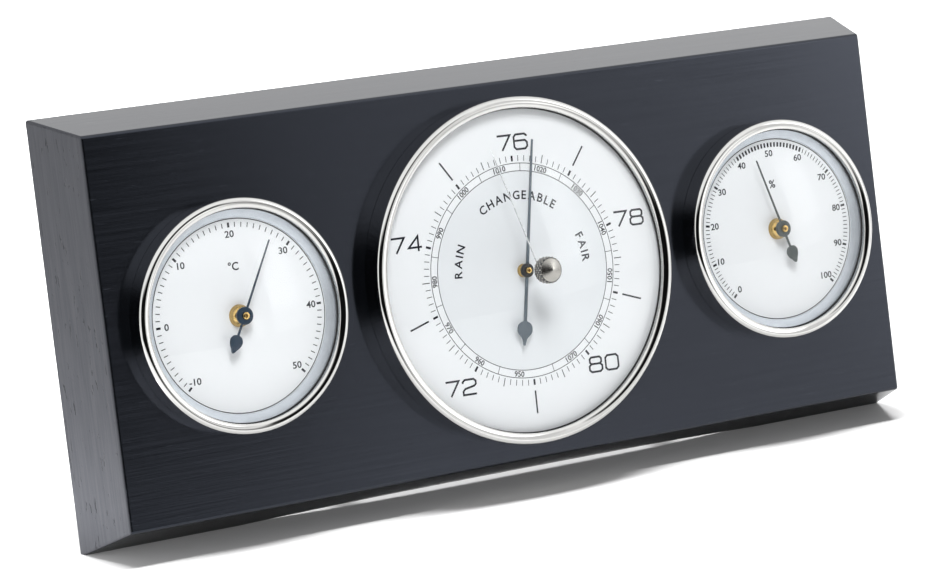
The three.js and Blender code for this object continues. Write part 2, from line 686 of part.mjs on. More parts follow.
function movementPlates(gauge) {
  const bearings = [
    { radius: ARBOR_RADIUS + RUN, x: 0, y: 0 },
    { radius: SECTOR_ARBOR_RADIUS + RUN, x: sectorX, y: 0 },
  ];
  const left = -HAIRSPRING_RADIUS - PLATE_MARGIN;
  const right = sectorX + PLATE_MARGIN;
  const half = Math.max(...shortPillars.map(({ y }) => Math.abs(y))) + SHORT_PILLAR_RADIUS + FIT;
  const reach = longPillarY + LONG_PILLAR_RADIUS + FIT;
  const arm = LONG_PILLAR_RADIUS * 2;
  const front = outlineOf([
    [-arm, -reach], [arm, -reach], [right, -half], [right, half],
    [arm, reach], [-arm, reach], [left, half], [left, -half],
  ]);
  const studX = HAIRSPRING_RADIUS + HAIRSPRING_STRIP / 2 + FIT + STUD_RADIUS;
  const hairspringUnder = rearPlateTop + SWEEP;
  const hairspringTop = hairspringUnder + HAIRSPRING_WIDTH;
  const stud = rod(STUD_RADIUS, rearPlateUnder + FIT, hairspringTop, TINY_FACETS);
  const rearOutline = withHoles(rectangle(left, right, -half, half), bearings);
  const rear = plate(rearOutline, rearPlateUnder, rearPlateTop);
  const frontPlate = plate(withHoles(front, bearings), frontPlateUnder, frontPlateTop);
  const springInner = ARBOR_RADIUS + RUN + HAIRSPRING_STRIP;
  const strip = spiral(springInner, HAIRSPRING_RADIUS, HAIRSPRING_TURNS, HAIRSPRING_STRIP);
  part(gauge, 'barometer_front_plate', frontPlate, brass);
  part(gauge, 'barometer_rear_plate', joined(rear, stud.translate(studX, 0, 0)), brass);
  part(gauge, 'barometer_hairspring', plate(strip, hairspringUnder, hairspringTop), bluedSteel);
  shortPillars.forEach(({ name, x, y }) => {
    const pillar = rod(SHORT_PILLAR_RADIUS, rearPlateTop + FIT, frontPlateUnder - FIT, TINY_FACETS);
    part(gauge, name, pillar.translate(x, y, 0), brass);
  });
  [['lower', -1], ['upper', 1]].forEach(([place, side]) => {
    const pillar = rod(LONG_PILLAR_RADIUS, baseTop + FIT, frontPlateUnder - FIT, TINY_FACETS);
    part(gauge, `barometer_long_pillar_${place}`, pillar.translate(0, side * longPillarY, 0), brass);
  });
}

function barometerTrain(gauge) {
  const arborLow = rearPlateUnder - PIVOT_LENGTH;
  const arborHigh = frontPlateTop + PIVOT_LENGTH;
  const sectorAxle = rod(SECTOR_ARBOR_RADIUS, arborLow, arborHigh, TINY_FACETS);
  const sector = part(gauge, 'barometer_sector_gear', sectorGear(), brass);
  sector.position.x = sectorX;
  sector.rotation.z = trainTurn / SECTOR_RATIO;
  part(gauge, 'barometer_sector_arbor', sectorAxle, satinSteel).position.x = sectorX;
  const rocker = part(gauge, 'barometer_rocking_shaft', rockingShaft(), satinSteel);
  rocker.position.set(0, rockerY, rockerZ);
  rocker.rotation.x = -trainTurn * rockerRatio;
  const plunger = rod(STEM_RADIUS, socketFloor + FIT + stemTravel, stemTop, SMALL_FACETS);
  const stem = part(gauge, 'barometer_capsule_stem', plunger, brass);
  stem.position.z = -trainTurn * rockerRatio * CRANK_REACH;
  [['left', -1], ['right', 1]].forEach(([place, side]) => {
    const foot = baseTop + FIT;
    const height = rockerZ + POST_HEAD - foot;
    const upright = box(POST_THICKNESS, POST_WIDTH, height, 0, rockerY, foot + height / 2);
    const hole = rod(ROCKER_RADIUS + RUN, -POST_THICKNESS, POST_THICKNESS, TINY_FACETS);
    const post = cut(upright, hole.rotateY(Math.PI / 2).translate(0, rockerY, rockerZ));
    part(gauge, `barometer_rocker_post_${place}`, post.translate(side * postX, 0, 0), brass);
  });
}

// Knurled knob with a turned cone on its front
function setKnob(under) {
  const grip = KNOB_RADIUS - KNURL_DEPTH;
  const ridges = Array.from({ length: 2 * KNURL_COUNT }, (_, i) => {
    const angle = (Math.PI * i) / KNURL_COUNT;
    const radius = i % 2 ? grip : KNOB_RADIUS;
    return [radius * Math.cos(angle), radius * Math.sin(angle)];
  });
  const band = plate(outlineOf(ridges), under + KNOB_CHAMFER, under + KNOB_LENGTH - KNOB_CHAMFER);
  const core = turned([
    [0, under],
    [grip - KNOB_CHAMFER, under],
    [grip - KNURL_DEPTH, under + KNOB_CHAMFER / 2],
    [grip - KNURL_DEPTH, under + KNOB_LENGTH - KNOB_CHAMFER / 2],
    [grip - KNOB_CHAMFER, under + KNOB_LENGTH],
    [0, under + KNOB_LENGTH + KNOB_CONE],
  ], KNURL_COUNT);
  const bore = rod(SPINDLE_RADIUS + FIT, under - FIT, under + KNOB_LENGTH / 2 + FIT, TINY_FACETS);
  return cut(joined(band, core), bore);
}

// Thin hand that slopes from the spindle to just over the pointer's tip
function setHand(hubTop) {
  const tip = BARO_POINTER.tip - SET_HAND_SHORTFALL;
  const tipUnder = baroPointerTop + SWEEP;
  const hubUnder = hubTop - SET_HUB_HEIGHT;
  const middle = (hubTop + hubUnder) / 2;
  const profile = outlineOf([
    [SPINDLE_RADIUS + FIT, middle - SET_HAND_THICKNESS / 2],
    [tip, tipUnder],
    [tip, tipUnder + SET_HAND_THICKNESS],
    [SPINDLE_RADIUS + FIT, middle + SET_HAND_THICKNESS / 2],
  ]);
  const blade = plate(profile, -SET_HAND_WIDTH / 2, SET_HAND_WIDTH / 2);
  const upright = new THREE.Matrix4().makeBasis(
    new THREE.Vector3(0, 1, 0), new THREE.Vector3(0, 0, 1), new THREE.Vector3(1, 0, 0));
  const hub = rod(SET_HUB_RADIUS, hubUnder, hubTop, SMALL_FACETS);
  const bore = rod(SPINDLE_RADIUS + FIT, hubUnder - FIT, hubTop + FIT, TINY_FACETS);
  return cut(joined(hub, blade.applyMatrix4(upright)), bore);
}

function settingHand(gauge) {
  const apexTop = apexUnder + GLASS_THICKNESS;
  const sleeveUnder = apexUnder - FIT;
  const headUnder = apexTop + FIT;
  const headTop = headUnder + GLASS_BUSH_HEAD;
  const sleeve = SPINDLE_RADIUS + RUN + GLASS_BUSH_WALL;
  const glassBush = turned([
    [SPINDLE_RADIUS + RUN, sleeveUnder],
    [sleeve, sleeveUnder],
    [sleeve, headUnder],
    [sleeve + GLASS_BUSH_FLANGE, headUnder],
    [sleeve + GLASS_BUSH_FLANGE, headTop],
    [SPINDLE_RADIUS + RUN, headTop],
  ], SMALL_FACETS);
  const hubTop = sleeveUnder - FIT;
  const knobUnder = headTop + FIT;
  const spindleTop = knobUnder + KNOB_LENGTH / 2;
  const spindle = rod(SPINDLE_RADIUS, hubTop - SET_HUB_HEIGHT, spindleTop, TINY_FACETS);
  part(gauge, 'barometer_glass', glass(baro, baroRise, sleeve + FIT, BIG_FACETS), clearGlass);
  part(gauge, 'barometer_glass_bush', glassBush, brass);
  clockwise(part(gauge, 'barometer_set_spindle', spindle, satinSteel), SET_REST_DEG);
  clockwise(part(gauge, 'barometer_set_hand', setHand(hubTop), satinSteel), SET_REST_DEG);
  clockwise(part(gauge, 'barometer_set_knob', setKnob(knobUnder), polishedSteel), SET_REST_DEG);
}

function barometer() {
  const gauge = new THREE.Group();
  const headHoles = screws.map(({ x, y }) => ({ radius: SCREW_HEAD_RADIUS + FIT, x, y }));
  const shankHoles = screws.map(({ x, y }) => ({ radius: SCREW_RADIUS + FIT, x, y }));
  const disc = new THREE.Shape().absarc(0, 0, baseRadius, 0, 2 * Math.PI);
  const basePlate = plate(withHoles(disc, shankHoles), baseUnder, baseTop, CURVE_STEPS * 2);
  const baroBush = bush(baro, BARO_BUSH_RADIUS, frontPlateTop + FIT, BARO_BUSH_RISE);
  part(gauge, 'barometer_case', gaugeCase(baro, caseBack, BIG_FACETS, headHoles), zincSteel);
  part(gauge, 'barometer_bezel', bezel(baro, BIG_FACETS), polishedSteel);
  part(gauge, 'barometer_dial', dialPlate(baro, BIG_FACETS), silveredWhite);
  part(gauge, 'barometer_bush', baroBush, brass);
  part(gauge, 'barometer_base_plate', basePlate, brass);
  part(gauge, 'barometer_capsule', capsule(), copperBronze);
  screws.forEach(({ name, x, y }) => part(gauge, name, slottedScrew(x, y), brass));
  movementPlates(gauge);
  barometerTrain(gauge);
  settingHand(gauge);
  const hand = pointer(BARO_POINTER, BARO_SPADE, baroPointerUnder);
  clockwise(part(gauge, 'barometer_arbor', pinionArbor(), brass), BARO_REST_DEG);
  clockwise(part(gauge, 'barometer_pointer', hand, slateSteel), BARO_REST_DEG);
  return gauge;
}

// Block: as wide as the gauges with their margins, as deep as the barometer's case
const gaugePitch = BARO_BEZEL_RADIUS + BEZEL_GAP + SMALL_BEZEL_RADIUS;
const frontWidth = 2 * (gaugePitch + SMALL_BEZEL_RADIUS + END_MARGIN);
const frontHeight = 2 * (BARO_BEZEL_RADIUS + TOP_MARGIN);
const blockDepth = BACK_RECESS - caseBack;
const backBottom = -frontHeight / 2 - BLOCK_BEVEL;
const legY = backBottom + LEG_HEIGHT;
const tipRadius = LEG_RADIUS + FIT + TIP_WALL;
const insertRadius = LEG_THREAD_RADIUS + FIT + INSERT_WALL;
const legReach = ((LEG_HEIGHT - tipRadius) * Math.cos(lean) + FOOT_CUT - REST_CUT) / Math.sin(lean);

// Floor under the leaning block, as a frame in the block's own coordinates
const floorUp = new THREE.Vector3(0, Math.cos(lean), Math.sin(lean));
const floorOut = new THREE.Vector3(0, -Math.sin(lean), Math.cos(lean));
const floorPoint = new THREE.Vector3(0, backBottom, -blockDepth).addScaledVector(floorUp, REST_CUT);
const floorFrame = new THREE.Matrix4()
  .makeBasis(new THREE.Vector3(1, 0, 0), floorUp, floorOut)
  .setPosition(floorPoint);

function belowFloor() {
  const size = 4 * blockDepth;
  return box(2 * frontWidth, size, 2 * legReach + size, 0, -size / 2, 0).applyMatrix4(floorFrame);
}

// Shallow arch that lifts the resting edge clear between its end lands
function edgeArch() {
  const half = frontWidth / 2 + BLOCK_BEVEL - REST_LAND;
  const points = [[half, -blockDepth], [half, 0]];
  for (let i = 1; i < ARCH_STEPS; i += 1) {
    const x = half * (1 - (2 * i) / ARCH_STEPS);
    points.push([x, ARCH_HEIGHT * (1 - Math.abs(x / half) ** ARCH_POWER)]);
  }
  points.push([-half, 0], [-half, -blockDepth]);
  return plate(outlineOf(points), -blockDepth, blockDepth).applyMatrix4(floorFrame);
}

function woodBlock() {
  const sides = [frontWidth, frontHeight, blockDepth];
  const rounded = new RoundedBoxGeometry(...sides, EDGE_STEPS, BLOCK_EDGE_RADIUS);
  rounded.translate(0, 0, -blockDepth / 2);
  const place = rounded.getAttribute('position');
  for (let i = 0; i < place.count; i += 1) {
    const run = (-2 * BLOCK_BEVEL * place.getZ(i)) / blockDepth;
    place.setX(i, place.getX(i) * (1 + run / frontWidth));
    place.setY(i, place.getY(i) * (1 + run / frontHeight));
  }
  const through = (radius, x, facets) =>
    rod(radius + FIT, -2 * blockDepth, blockDepth, facets).translate(x, 0, 0);
  const bores = [
    through(small.caseRadius, -gaugePitch, MID_FACETS),
    through(baro.caseRadius, 0, BIG_FACETS),
    through(small.caseRadius, gaugePitch, MID_FACETS),
  ];
  const sockets = [-1, 1].map((side) =>
    rod(insertRadius + FIT, -2 * blockDepth, INSERT_LENGTH + FIT - blockDepth, SMALL_FACETS)
      .translate((side * LEG_SPREAD) / 2, legY, 0));
  return cut(solid(rounded), ...bores, ...sockets, belowFloor(), edgeArch());
}

function standLeg(panel, place, side) {
  const x = (side * LEG_SPREAD) / 2;
  const back = -blockDepth;
  const end = back - legReach;
  const rodEnd = end + TIP_END;
  const sleeve = tube(LEG_THREAD_RADIUS + FIT, insertRadius, back, back + INSERT_LENGTH, SMALL_FACETS);
  const peg = turned([
    [0, rodEnd],
    [LEG_RADIUS, rodEnd],
    [LEG_RADIUS, back - FIT],
    [LEG_THREAD_RADIUS, back - FIT],
    [LEG_THREAD_RADIUS, back + INSERT_LENGTH - FIT],
    [0, back + INSERT_LENGTH - FIT],
  ], SMALL_FACETS);
  const cap = turned([
    [0, end],
    [tipRadius, end],
    [tipRadius, end + TIP_LENGTH],
    [LEG_RADIUS + FIT, end + TIP_LENGTH],
    [LEG_RADIUS + FIT, rodEnd - FIT],
    [0, rodEnd - FIT],
  ], SMALL_FACETS);
  part(panel, `leg_insert_${place}`, sleeve.translate(x, legY, 0), brass);
  part(panel, `leg_peg_${place}`, peg.translate(x, legY, 0), satinSteel);
  part(panel, `leg_tip_${place}`, cut(cap.translate(x, legY, 0), belowFloor()), blackRubber);
}

function weatherStation() {
  const station = new THREE.Group();
  const panel = new THREE.Group();
  station.add(panel);
  part(panel, 'wood_block', woodBlock(), blackLacquer);
  standLeg(panel, 'left', -1);
  standLeg(panel, 'right', 1);
  const thermometer = smallGauge('thermometer', THERMO_REST_DEG, bluedSteel, copperBronze);
  const hygrometer = smallGauge('hygrometer', HYGRO_REST_DEG, slateSteel, brass);
  thermometer.position.x = -gaugePitch;
  hygrometer.position.x = gaugePitch;
  panel.add(thermometer, barometer(), hygrometer);
  panel.rotation.x = Math.PI / 2 - lean;
  panel.position.z = -floorPoint.dot(floorUp);
  station.updateMatrixWorld(true);
  const middle = new THREE.Box3().setFromObject(station, true).getCenter(new THREE.Vector3());
  panel.position.y = -middle.y;
  station.updateMatrixWorld(true);
  return station;
}

export default weatherStation();
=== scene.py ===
"""Looks of a desk weather station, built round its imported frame.

A black lacquered block leans back on two pegs and carries a thermometer, an aneroid
barometer and a hygrometer. Shapes are written in panel millimetres: x right, y up the
dials, z out of the block's front face, with the barometer's centre at the origin.
"""

import json
import logging
import math
from collections.abc import Callable, Iterable, Mapping, Sequence
from dataclasses import dataclass, field
from enum import Enum

import bmesh
import bpy
from mathutils import Euler, Matrix, Vector


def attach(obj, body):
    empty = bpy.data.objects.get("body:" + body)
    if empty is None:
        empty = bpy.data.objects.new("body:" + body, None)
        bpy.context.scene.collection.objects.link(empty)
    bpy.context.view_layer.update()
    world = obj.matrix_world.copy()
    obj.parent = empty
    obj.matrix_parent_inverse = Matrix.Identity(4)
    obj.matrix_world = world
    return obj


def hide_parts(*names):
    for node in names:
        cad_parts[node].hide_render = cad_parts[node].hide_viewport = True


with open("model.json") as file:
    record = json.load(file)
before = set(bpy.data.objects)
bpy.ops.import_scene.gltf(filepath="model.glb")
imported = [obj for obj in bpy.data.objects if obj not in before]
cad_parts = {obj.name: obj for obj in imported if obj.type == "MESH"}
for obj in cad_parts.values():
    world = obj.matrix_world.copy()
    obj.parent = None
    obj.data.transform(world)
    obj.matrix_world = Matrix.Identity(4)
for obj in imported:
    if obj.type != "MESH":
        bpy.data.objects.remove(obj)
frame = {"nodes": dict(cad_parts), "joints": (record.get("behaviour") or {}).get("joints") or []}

LOG = logging.getLogger("weather_station")
MM = 0.001
LEAN_DEG = 13.0
SHARP_DEG = 28.0
FULL_TURN = 2.0 * math.pi
RING_STEPS = 160  # parts of a full turn where nothing else is said
FINE_STEPS = 192  # the same for the rings that show most
GLASS_STEPS, CASE_STEPS, KNOB_STEPS, HUB_STEPS = 144, 128, 96, 72
PEG_STEPS, ROD_STEPS, VENT_STEPS = 64, 48, 32
EASE_LIMIT = 0.45  # share of a side that the rounding of one corner may take
WELD_MM, WELD_M, WELD_BLOCK_M = 1e-5, 1e-7, 1e-6
PRINT_SUNK = 0.02  # how far print reaches into its dial
CUT_CLEAR = 2.0  # how far a drill reaches past what it cuts
BLOCK = "block"
SETTING = "setting_hand"

Point = tuple[float, float]
Triple = tuple[float, float, float]
Four = tuple[float, float, float, float]
Outline = Sequence[Point]
Socket = bpy.types.NodeSocket
Given = Mapping[str, Socket]
Maker = Callable[["NodeBench", Given], Socket]


# ---------------------------------------------------------------- panel and meshes


@dataclass(frozen=True)
class Panel:
    """Leaning front face of the block, as a frame in the world."""

    origin: Vector
    lean_deg: float = LEAN_DEG

    @classmethod
    def from_frame(cls) -> "Panel":
        """Reads the barometer's centre from its joint."""
        joint = next(j for j in frame["joints"] if j["name"] == "barometer_reading")
        return cls(Vector(joint["pos_m"]))

    @property
    def turn(self) -> Euler:
        """Rotation from panel axes to world axes."""
        return Euler((math.radians(90.0 - self.lean_deg), 0.0, 0.0))

    def matrix(self, x: float = 0.0) -> Matrix:
        """Matrix from millimetres about a gauge's centre to world metres.

        Args:
            x: Place of the gauge along the panel, in millimetres.

        Returns:
            The matrix, with the scale in it.
        """
        place = Matrix.Translation(self.origin) @ self.turn.to_matrix().to_4x4()
        return place @ Matrix.Scale(MM, 4) @ Matrix.Translation((x, 0.0, 0.0))

    def centre(self, x: float) -> Vector:
        """World place of a gauge's centre on the front face."""
        return self.origin + Vector((x * MM, 0.0, 0.0))


@dataclass
class Shell:
    """Loose mesh in millimetres, before it becomes a piece."""

    points: list[Vector] = field(default_factory=list)
    faces: list[tuple[int, ...]] = field(default_factory=list)

    def add(self, other: "Shell") -> "Shell":
        """Takes in another shell's points and faces."""
        base = len(self.points)
        self.points.extend(other.points)
        self.faces.extend(tuple(base + i for i in loop) for loop in other.faces)
        return self

    def moved(self, matrix: Matrix) -> "Shell":
        """Copy of the shell in another place."""
        return Shell([matrix @ p for p in self.points], list(self.faces))

    def shifted(self, x: float, y: float, z: float = 0.0) -> "Shell":
        """Copy of the shell moved along its axes."""
        return self.moved(Matrix.Translation((x, y, z)))

    def turned_clockwise(self, degrees: float) -> "Shell":
        """Copy of the shell turned clockwise on the dial."""
        return self.moved(Matrix.Rotation(-math.radians(degrees), 4, "Z"))

    def span(self, axis: int) -> Point:
        """Lowest and highest value along an axis."""
        values = [p[axis] for p in self.points]
        return min(values), max(values)

    @classmethod
    def of_mesh(cls, mesh: bpy.types.Mesh) -> "Shell":
        """Shell with a Blender mesh's points and faces; the mesh is removed."""
        points = [v.co.copy() for v in mesh.vertices]
        shell = cls(points, [tuple(p.vertices) for p in mesh.polygons])
        bpy.data.meshes.remove(mesh)
        return shell

    def to_mesh(self, name: str, weld: float) -> bpy.types.Mesh:
        """Blender mesh with doubles merged and faces turned outwards.

        Args:
            name: Name of the mesh.
            weld: Distance under which two points are one.

        Returns:
            The mesh, smooth apart from its sharp edges.
        """
        mesh = bpy.data.meshes.new(name)
        mesh.from_pydata([tuple(p) for p in self.points], [], self.faces)
        work = bmesh.new()
        work.from_mesh(mesh)
        bmesh.ops.remove_doubles(work, verts=work.verts, dist=weld)
        bmesh.ops.dissolve_degenerate(work, edges=work.edges, dist=weld)
        bmesh.ops.recalc_face_normals(work, faces=work.faces)
        work.to_mesh(mesh)
        work.free()
        mesh.shade_smooth()
        mesh.set_sharp_from_angle(angle=math.radians(SHARP_DEG))
        return mesh


def rect(inner: float, low: float, outer: float, high: float) -> list[Point]:
    """Corners of a rectangle, such as a tube's section, or a rod's from radius 0."""
    return [(inner, low), (outer, low), (outer, high), (inner, high)]


def eased(outline: Outline, radius: float, steps: int = 4) -> list[Point]:
    """Rounds the corners of a closed outline that don't lie on the axis.

    Args:
        outline: Corners in order.
        radius: How far the rounding reaches along each side.
        steps: Straight parts of each rounding.

    Returns:
        The outline with its corners rounded.
    """
    rounded: list[Point] = []
    for i, corner in enumerate(outline):
        here = Vector(corner)
        back = Vector(outline[i - 1]) - here
        ahead = Vector(outline[(i + 1) % len(outline)]) - here
        if corner[0] == 0.0 or back.length == 0.0 or ahead.length == 0.0:
            rounded.append(corner)
            continue
        reach = min(radius, EASE_LIMIT * back.length, EASE_LIMIT * ahead.length)
        start = here + back.normalized() * reach
        end = here + ahead.normalized() * reach
        for k in range(steps + 1):
            t = k / steps
            p = start * (1 - t) ** 2 + here * (2 * t * (1 - t)) + end * t**2
            rounded.append((p.x, p.y))
    return rounded


def turned(outline: Outline, steps: int = RING_STEPS) -> Shell:
    """Revolves a closed (radius, height) outline about the z axis.

    Args:
        outline: Corners in order; points at radius 0 become poles.
        steps: Parts of the full turn.

    Returns:
        The closed shell.
    """
    shell = Shell()
    rings: list[list[int]] = []
    for radius, height in outline:
        base = len(shell.points)
        if radius == 0.0:
            shell.points.append(Vector((0.0, 0.0, height)))
            rings.append([base] * steps)
            continue
        for k in range(steps):
            angle = FULL_TURN * k / steps
            x, y = radius * math.cos(angle), radius * math.sin(angle)
            shell.points.append(Vector((x, y, height)))
        rings.append(list(range(base, base + steps)))
    for i, ring in enumerate(rings):
        after = rings[(i + 1) % len(rings)]
        if ring[0] == ring[1] and after[0] == after[1]:
            continue
        for k in range(steps):
            n = (k + 1) % steps
            loop = dict.fromkeys((ring[k], ring[n], after[n], after[k]))
            shell.faces.append(tuple(loop))
    return shell


def lofted(rings: Sequence[Sequence[Vector]]) -> Shell:
    """Skin over closed rings with as many points each, shut at both ends."""
    count = len(rings[0])
    last = (len(rings) - 1) * count
    shell = Shell([p for ring in rings for p in ring])
    for base in range(0, last, count):
        for k in range(count):
            n = (k + 1) % count
            shell.faces.append((base + k, base + n, base + count + n, base + count + k))
    shell.faces.append(tuple(range(count - 1, -1, -1)))
    shell.faces.append(tuple(range(last, last + count)))
    return shell


def side_step(before: Vector, after: Vector, depth: float, least: float) -> Vector:
    """Step to the left at a corner that leaves both its sides at one depth.

    Args:
        before: Direction of the side that ends here.
        after: Direction of the side that starts here.
        depth: Distance from the sides.
        least: Lower limit of the divisor, which keeps sharp corners short.

    Returns:
        The step.
    """
    along = (before + after).normalized()
    normal = Vector((-along.y, along.x))
    side = before if before.length else after
    spread = max(least, normal.dot(Vector((-side.y, side.x))))
    return normal * (depth / spread)


def inset(outline: Outline, depth: float) -> list[Point]:
    """Moves a counter-clockwise outline inwards by a small depth."""
    moved: list[Point] = []
    for i, corner in enumerate(outline):
        here = Vector(corner)
        before = (here - Vector(outline[i - 1])).normalized()
        after = (Vector(outline[(i + 1) % len(outline)]) - here).normalized()
        moved.append(tuple(here + side_step(before, after, depth, 0.5)))
    return moved


def plate(outline: Outline, low: float, high: float, ease: float = 0.0) -> Shell:
    """Flat plate of an outline between two heights, with its front edge eased.

    Args:
        outline: Corners in order.
        low: Height of the back.
        high: Height of the front.
        ease: Width of the eased front edge.

    Returns:
        The closed shell.
    """
    ahead = [*outline[1:], outline[0]]
    area = sum(a[0] * b[1] - b[0] * a[1] for a, b in zip(outline, ahead))
    loop = list(outline) if area > 0 else list(reversed(outline))
    layers = [(loop, low), (loop, high - ease)]
    if ease:
        layers.append((inset(loop, ease), high))
    return lofted([[Vector((x, y, z)) for x, y in ring] for ring, z in layers])


def stroke(path: Outline, width: float, low: float, high: float) -> Shell:
    """Printed line of even width along an open path.

    Args:
        path: Points in order.
        width: Width of the line.
        low: Height of its back.
        high: Height of its front.

    Returns:
        The closed shell.
    """
    rings = []
    for i, point in enumerate(path):
        here = Vector(point)
        before = (here - Vector(path[max(i - 1, 0)])).normalized()
        after = (Vector(path[min(i + 1, len(path) - 1)]) - here).normalized()
        half = side_step(before, after, width / 2.0, 0.4)
        left, right = here + half, here - half
        section = ((left, low), (right, low), (right, high), (left, high))
        rings.append([Vector((*side, z)) for side, z in section])
    return lofted(rings)


def smooth_path(path: Outline, steps: int = 6) -> list[Point]:
    """Curve through all points of a path.

    Args:
        path: Points in order.
        steps: Parts between two points.

    Returns:
        The finer path.
    """
    points = [Vector(p) for p in path]
    points = [2 * points[0] - points[1], *points, 2 * points[-1] - points[-2]]
    fine: list[Point] = []
    for a, b, c, d in zip(points, points[1:], points[2:], points[3:]):
        for k in range(steps):
            t = k / steps
            p = 0.5 * (
                2 * b + (c - a) * t + (2 * a - 5 * b + 4 * c - d) * t**2
                + (3 * b - a - 3 * c + d) * t**3
            )
            fine.append((p.x, p.y))
    fine.append(tuple(path[-1]))
    return fine


def put(name: str, data: bpy.types.ID) -> bpy.types.Object:
    """New object in the scene."""
    item = bpy.data.objects.new(name, data)
    bpy.context.scene.collection.objects.link(item)
    return item


def temporary(shell: Shell, name: str) -> bpy.types.Object:
    """Object in millimetres that only serves as a tool or template."""
    return put(name, shell.to_mesh(name, WELD_MM))


def discard(item: bpy.types.Object) -> None:
    """Removes a temporary object and its data."""
    data = item.data
    bpy.data.objects.remove(item)
    store = bpy.data.meshes if isinstance(data, bpy.types.Mesh) else bpy.data.curves
    store.remove(data)


def evaluated(item: bpy.types.Object) -> bpy.types.Mesh:
    """Plain mesh of an object with its modifiers applied; the object is removed."""
    graph = bpy.context.evaluated_depsgraph_get()
    mesh = bpy.data.meshes.new_from_object(item.evaluated_get(graph))
    discard(item)
    return mesh


def carved(body: Shell, tools: Iterable[Shell]) -> Shell:
    """Cuts tools out of a body.

    Args:
        body: Closed shell to cut.
        tools: Closed shells to take away.

    Returns:
        What is left of the body.
    """
    block = temporary(body, "carving")
    cutters = [temporary(tool, "cutter") for tool in tools]
    for cutter in cutters:
        step = block.modifiers.new("cut", "BOOLEAN")
        step.operation, step.solver, step.object = "DIFFERENCE", "EXACT", cutter
    result = Shell.of_mesh(evaluated(block))
    for cutter in cutters:
        discard(cutter)
    return result


def lettering(text: str, height: float, thickness: float, weight: float = 0.016) -> Shell:
    """Plain printed characters, centred on the origin.

    Args:
        text: What is printed.
        height: Height of the characters.
        thickness: How far the print stands up.
        weight: How far the strokes are thickened, as a share of the font's size.

    Returns:
        The characters as a shell.
    """
    curve = bpy.data.curves.new("lettering", "FONT")
    curve.body = text
    curve.extrude = 0.5
    curve.offset = weight
    curve.resolution_u = 3
    shell = Shell.of_mesh(evaluated(put("lettering", curve)))
    (left, right), (foot, top) = shell.span(0), shell.span(1)
    scale = height / (top - foot)
    middle = Vector(((right + left) / 2, (top + foot) / 2, 0.0))
    size = Vector((scale, scale, thickness))
    shell.points = [(p - middle) * size for p in shell.points]
    return shell


# ---------------------------------------------------------------- nodes


class NodeBench:
    """Adds nodes to a tree and joins them."""

    def __init__(self, tree: bpy.types.NodeTree) -> None:
        """Takes the tree to work on."""
        self.tree = tree

    def feed(self, socket: Socket, value: object) -> None:
        """Gives an input a value, or joins it to a socket."""
        if isinstance(value, Socket):
            self.tree.links.new(value, socket)
        elif socket.type == "RGBA":
            socket.default_value = (*value, 1.0)
        else:
            socket.default_value = value

    def dress(self, shader: bpy.types.Node, **inputs: object) -> None:
        """Feeds a shader's inputs, named with underscores for spaces."""
        for name, value in inputs.items():
            self.feed(shader.inputs[name.replace("_", " ")], value)

    def add(
        self, kind: str, inputs: dict[str | int, object] | None = None, **settings: object
    ) -> bpy.types.Node:
        """Adds a node.

        Args:
            kind: Blender's name of the node type.
            inputs: Values or sockets for its inputs.
            **settings: Values for its properties.

        Returns:
            The node.
        """
        node = self.tree.nodes.new(kind)
        for key, value in settings.items():
            setattr(node, key, value)
        for key, value in (inputs or {}).items():
            self.feed(node.inputs[key], value)
        return node

    def out(
        self, kind: str, inputs: dict[str | int, object] | None = None, **settings: object
    ) -> Socket:
        """First output of a new node."""
        return self.add(kind, inputs, **settings).outputs[0]

    def math(self, operation: str, *values: object) -> Socket:
        """Result of a Math node on values or sockets."""
        return self.out("ShaderNodeMath", dict(enumerate(values)), operation=operation)

    def distance(self, x: Socket, y: Socket) -> Socket:
        """Length of a vector with two parts."""
        squares = [self.math("POWER", part, 2.0) for part in (x, y)]
        return self.math("SQRT", self.math("ADD", *squares))

    def fit(
        self, value: Socket, start: float = 0.0, end: float = 1.0, low: object = 0.0,
        high: object = 1.0, **settings: object,
    ) -> Socket:
        """Value carried from one range to another and kept in it."""
        inputs = {0: value, 1: start, 2: end, 3: low, 4: high}
        return self.out("ShaderNodeMapRange", inputs, **settings)

    def vector(self, x: object = 0.0, y: object = 0.0, z: object = 0.0) -> Socket:
        """Vector of three parts."""
        return self.out("ShaderNodeCombineXYZ", {0: x, 1: y, 2: z})

    def parts(self, vector: Socket) -> Sequence[Socket]:
        """Three parts of a vector."""
        return self.add("ShaderNodeSeparateXYZ", {0: vector}).outputs

    def scaled(self, vector: Socket, factors: Triple) -> Socket:
        """Vector with each part times a factor."""
        return self.out("ShaderNodeVectorMath", {0: vector, 1: factors}, operation="MULTIPLY")

    def bump(self, height: Socket, depth: float) -> Socket:
        """Normal of a height map that is a depth in millimetres from black to white."""
        return self.out(
            "ShaderNodeBump", {"Height": height, "Strength": 1.0, "Distance": depth * MM}
        )

    def mixed(self, factor: Socket, first: object, second: object) -> Socket:
        """Colour between two colours or sockets, by a factor."""
        inputs = {"Factor": factor, "A": first, "B": second}
        return self.add("ShaderNodeMix", inputs, data_type="RGBA").outputs["Result"]


class Repeats(Enum):
    """Trees that make what repeats."""

    TICKS = "tick_ring"
    KNURL = "knurl_band"
    CIRCLE = "bolt_circle"


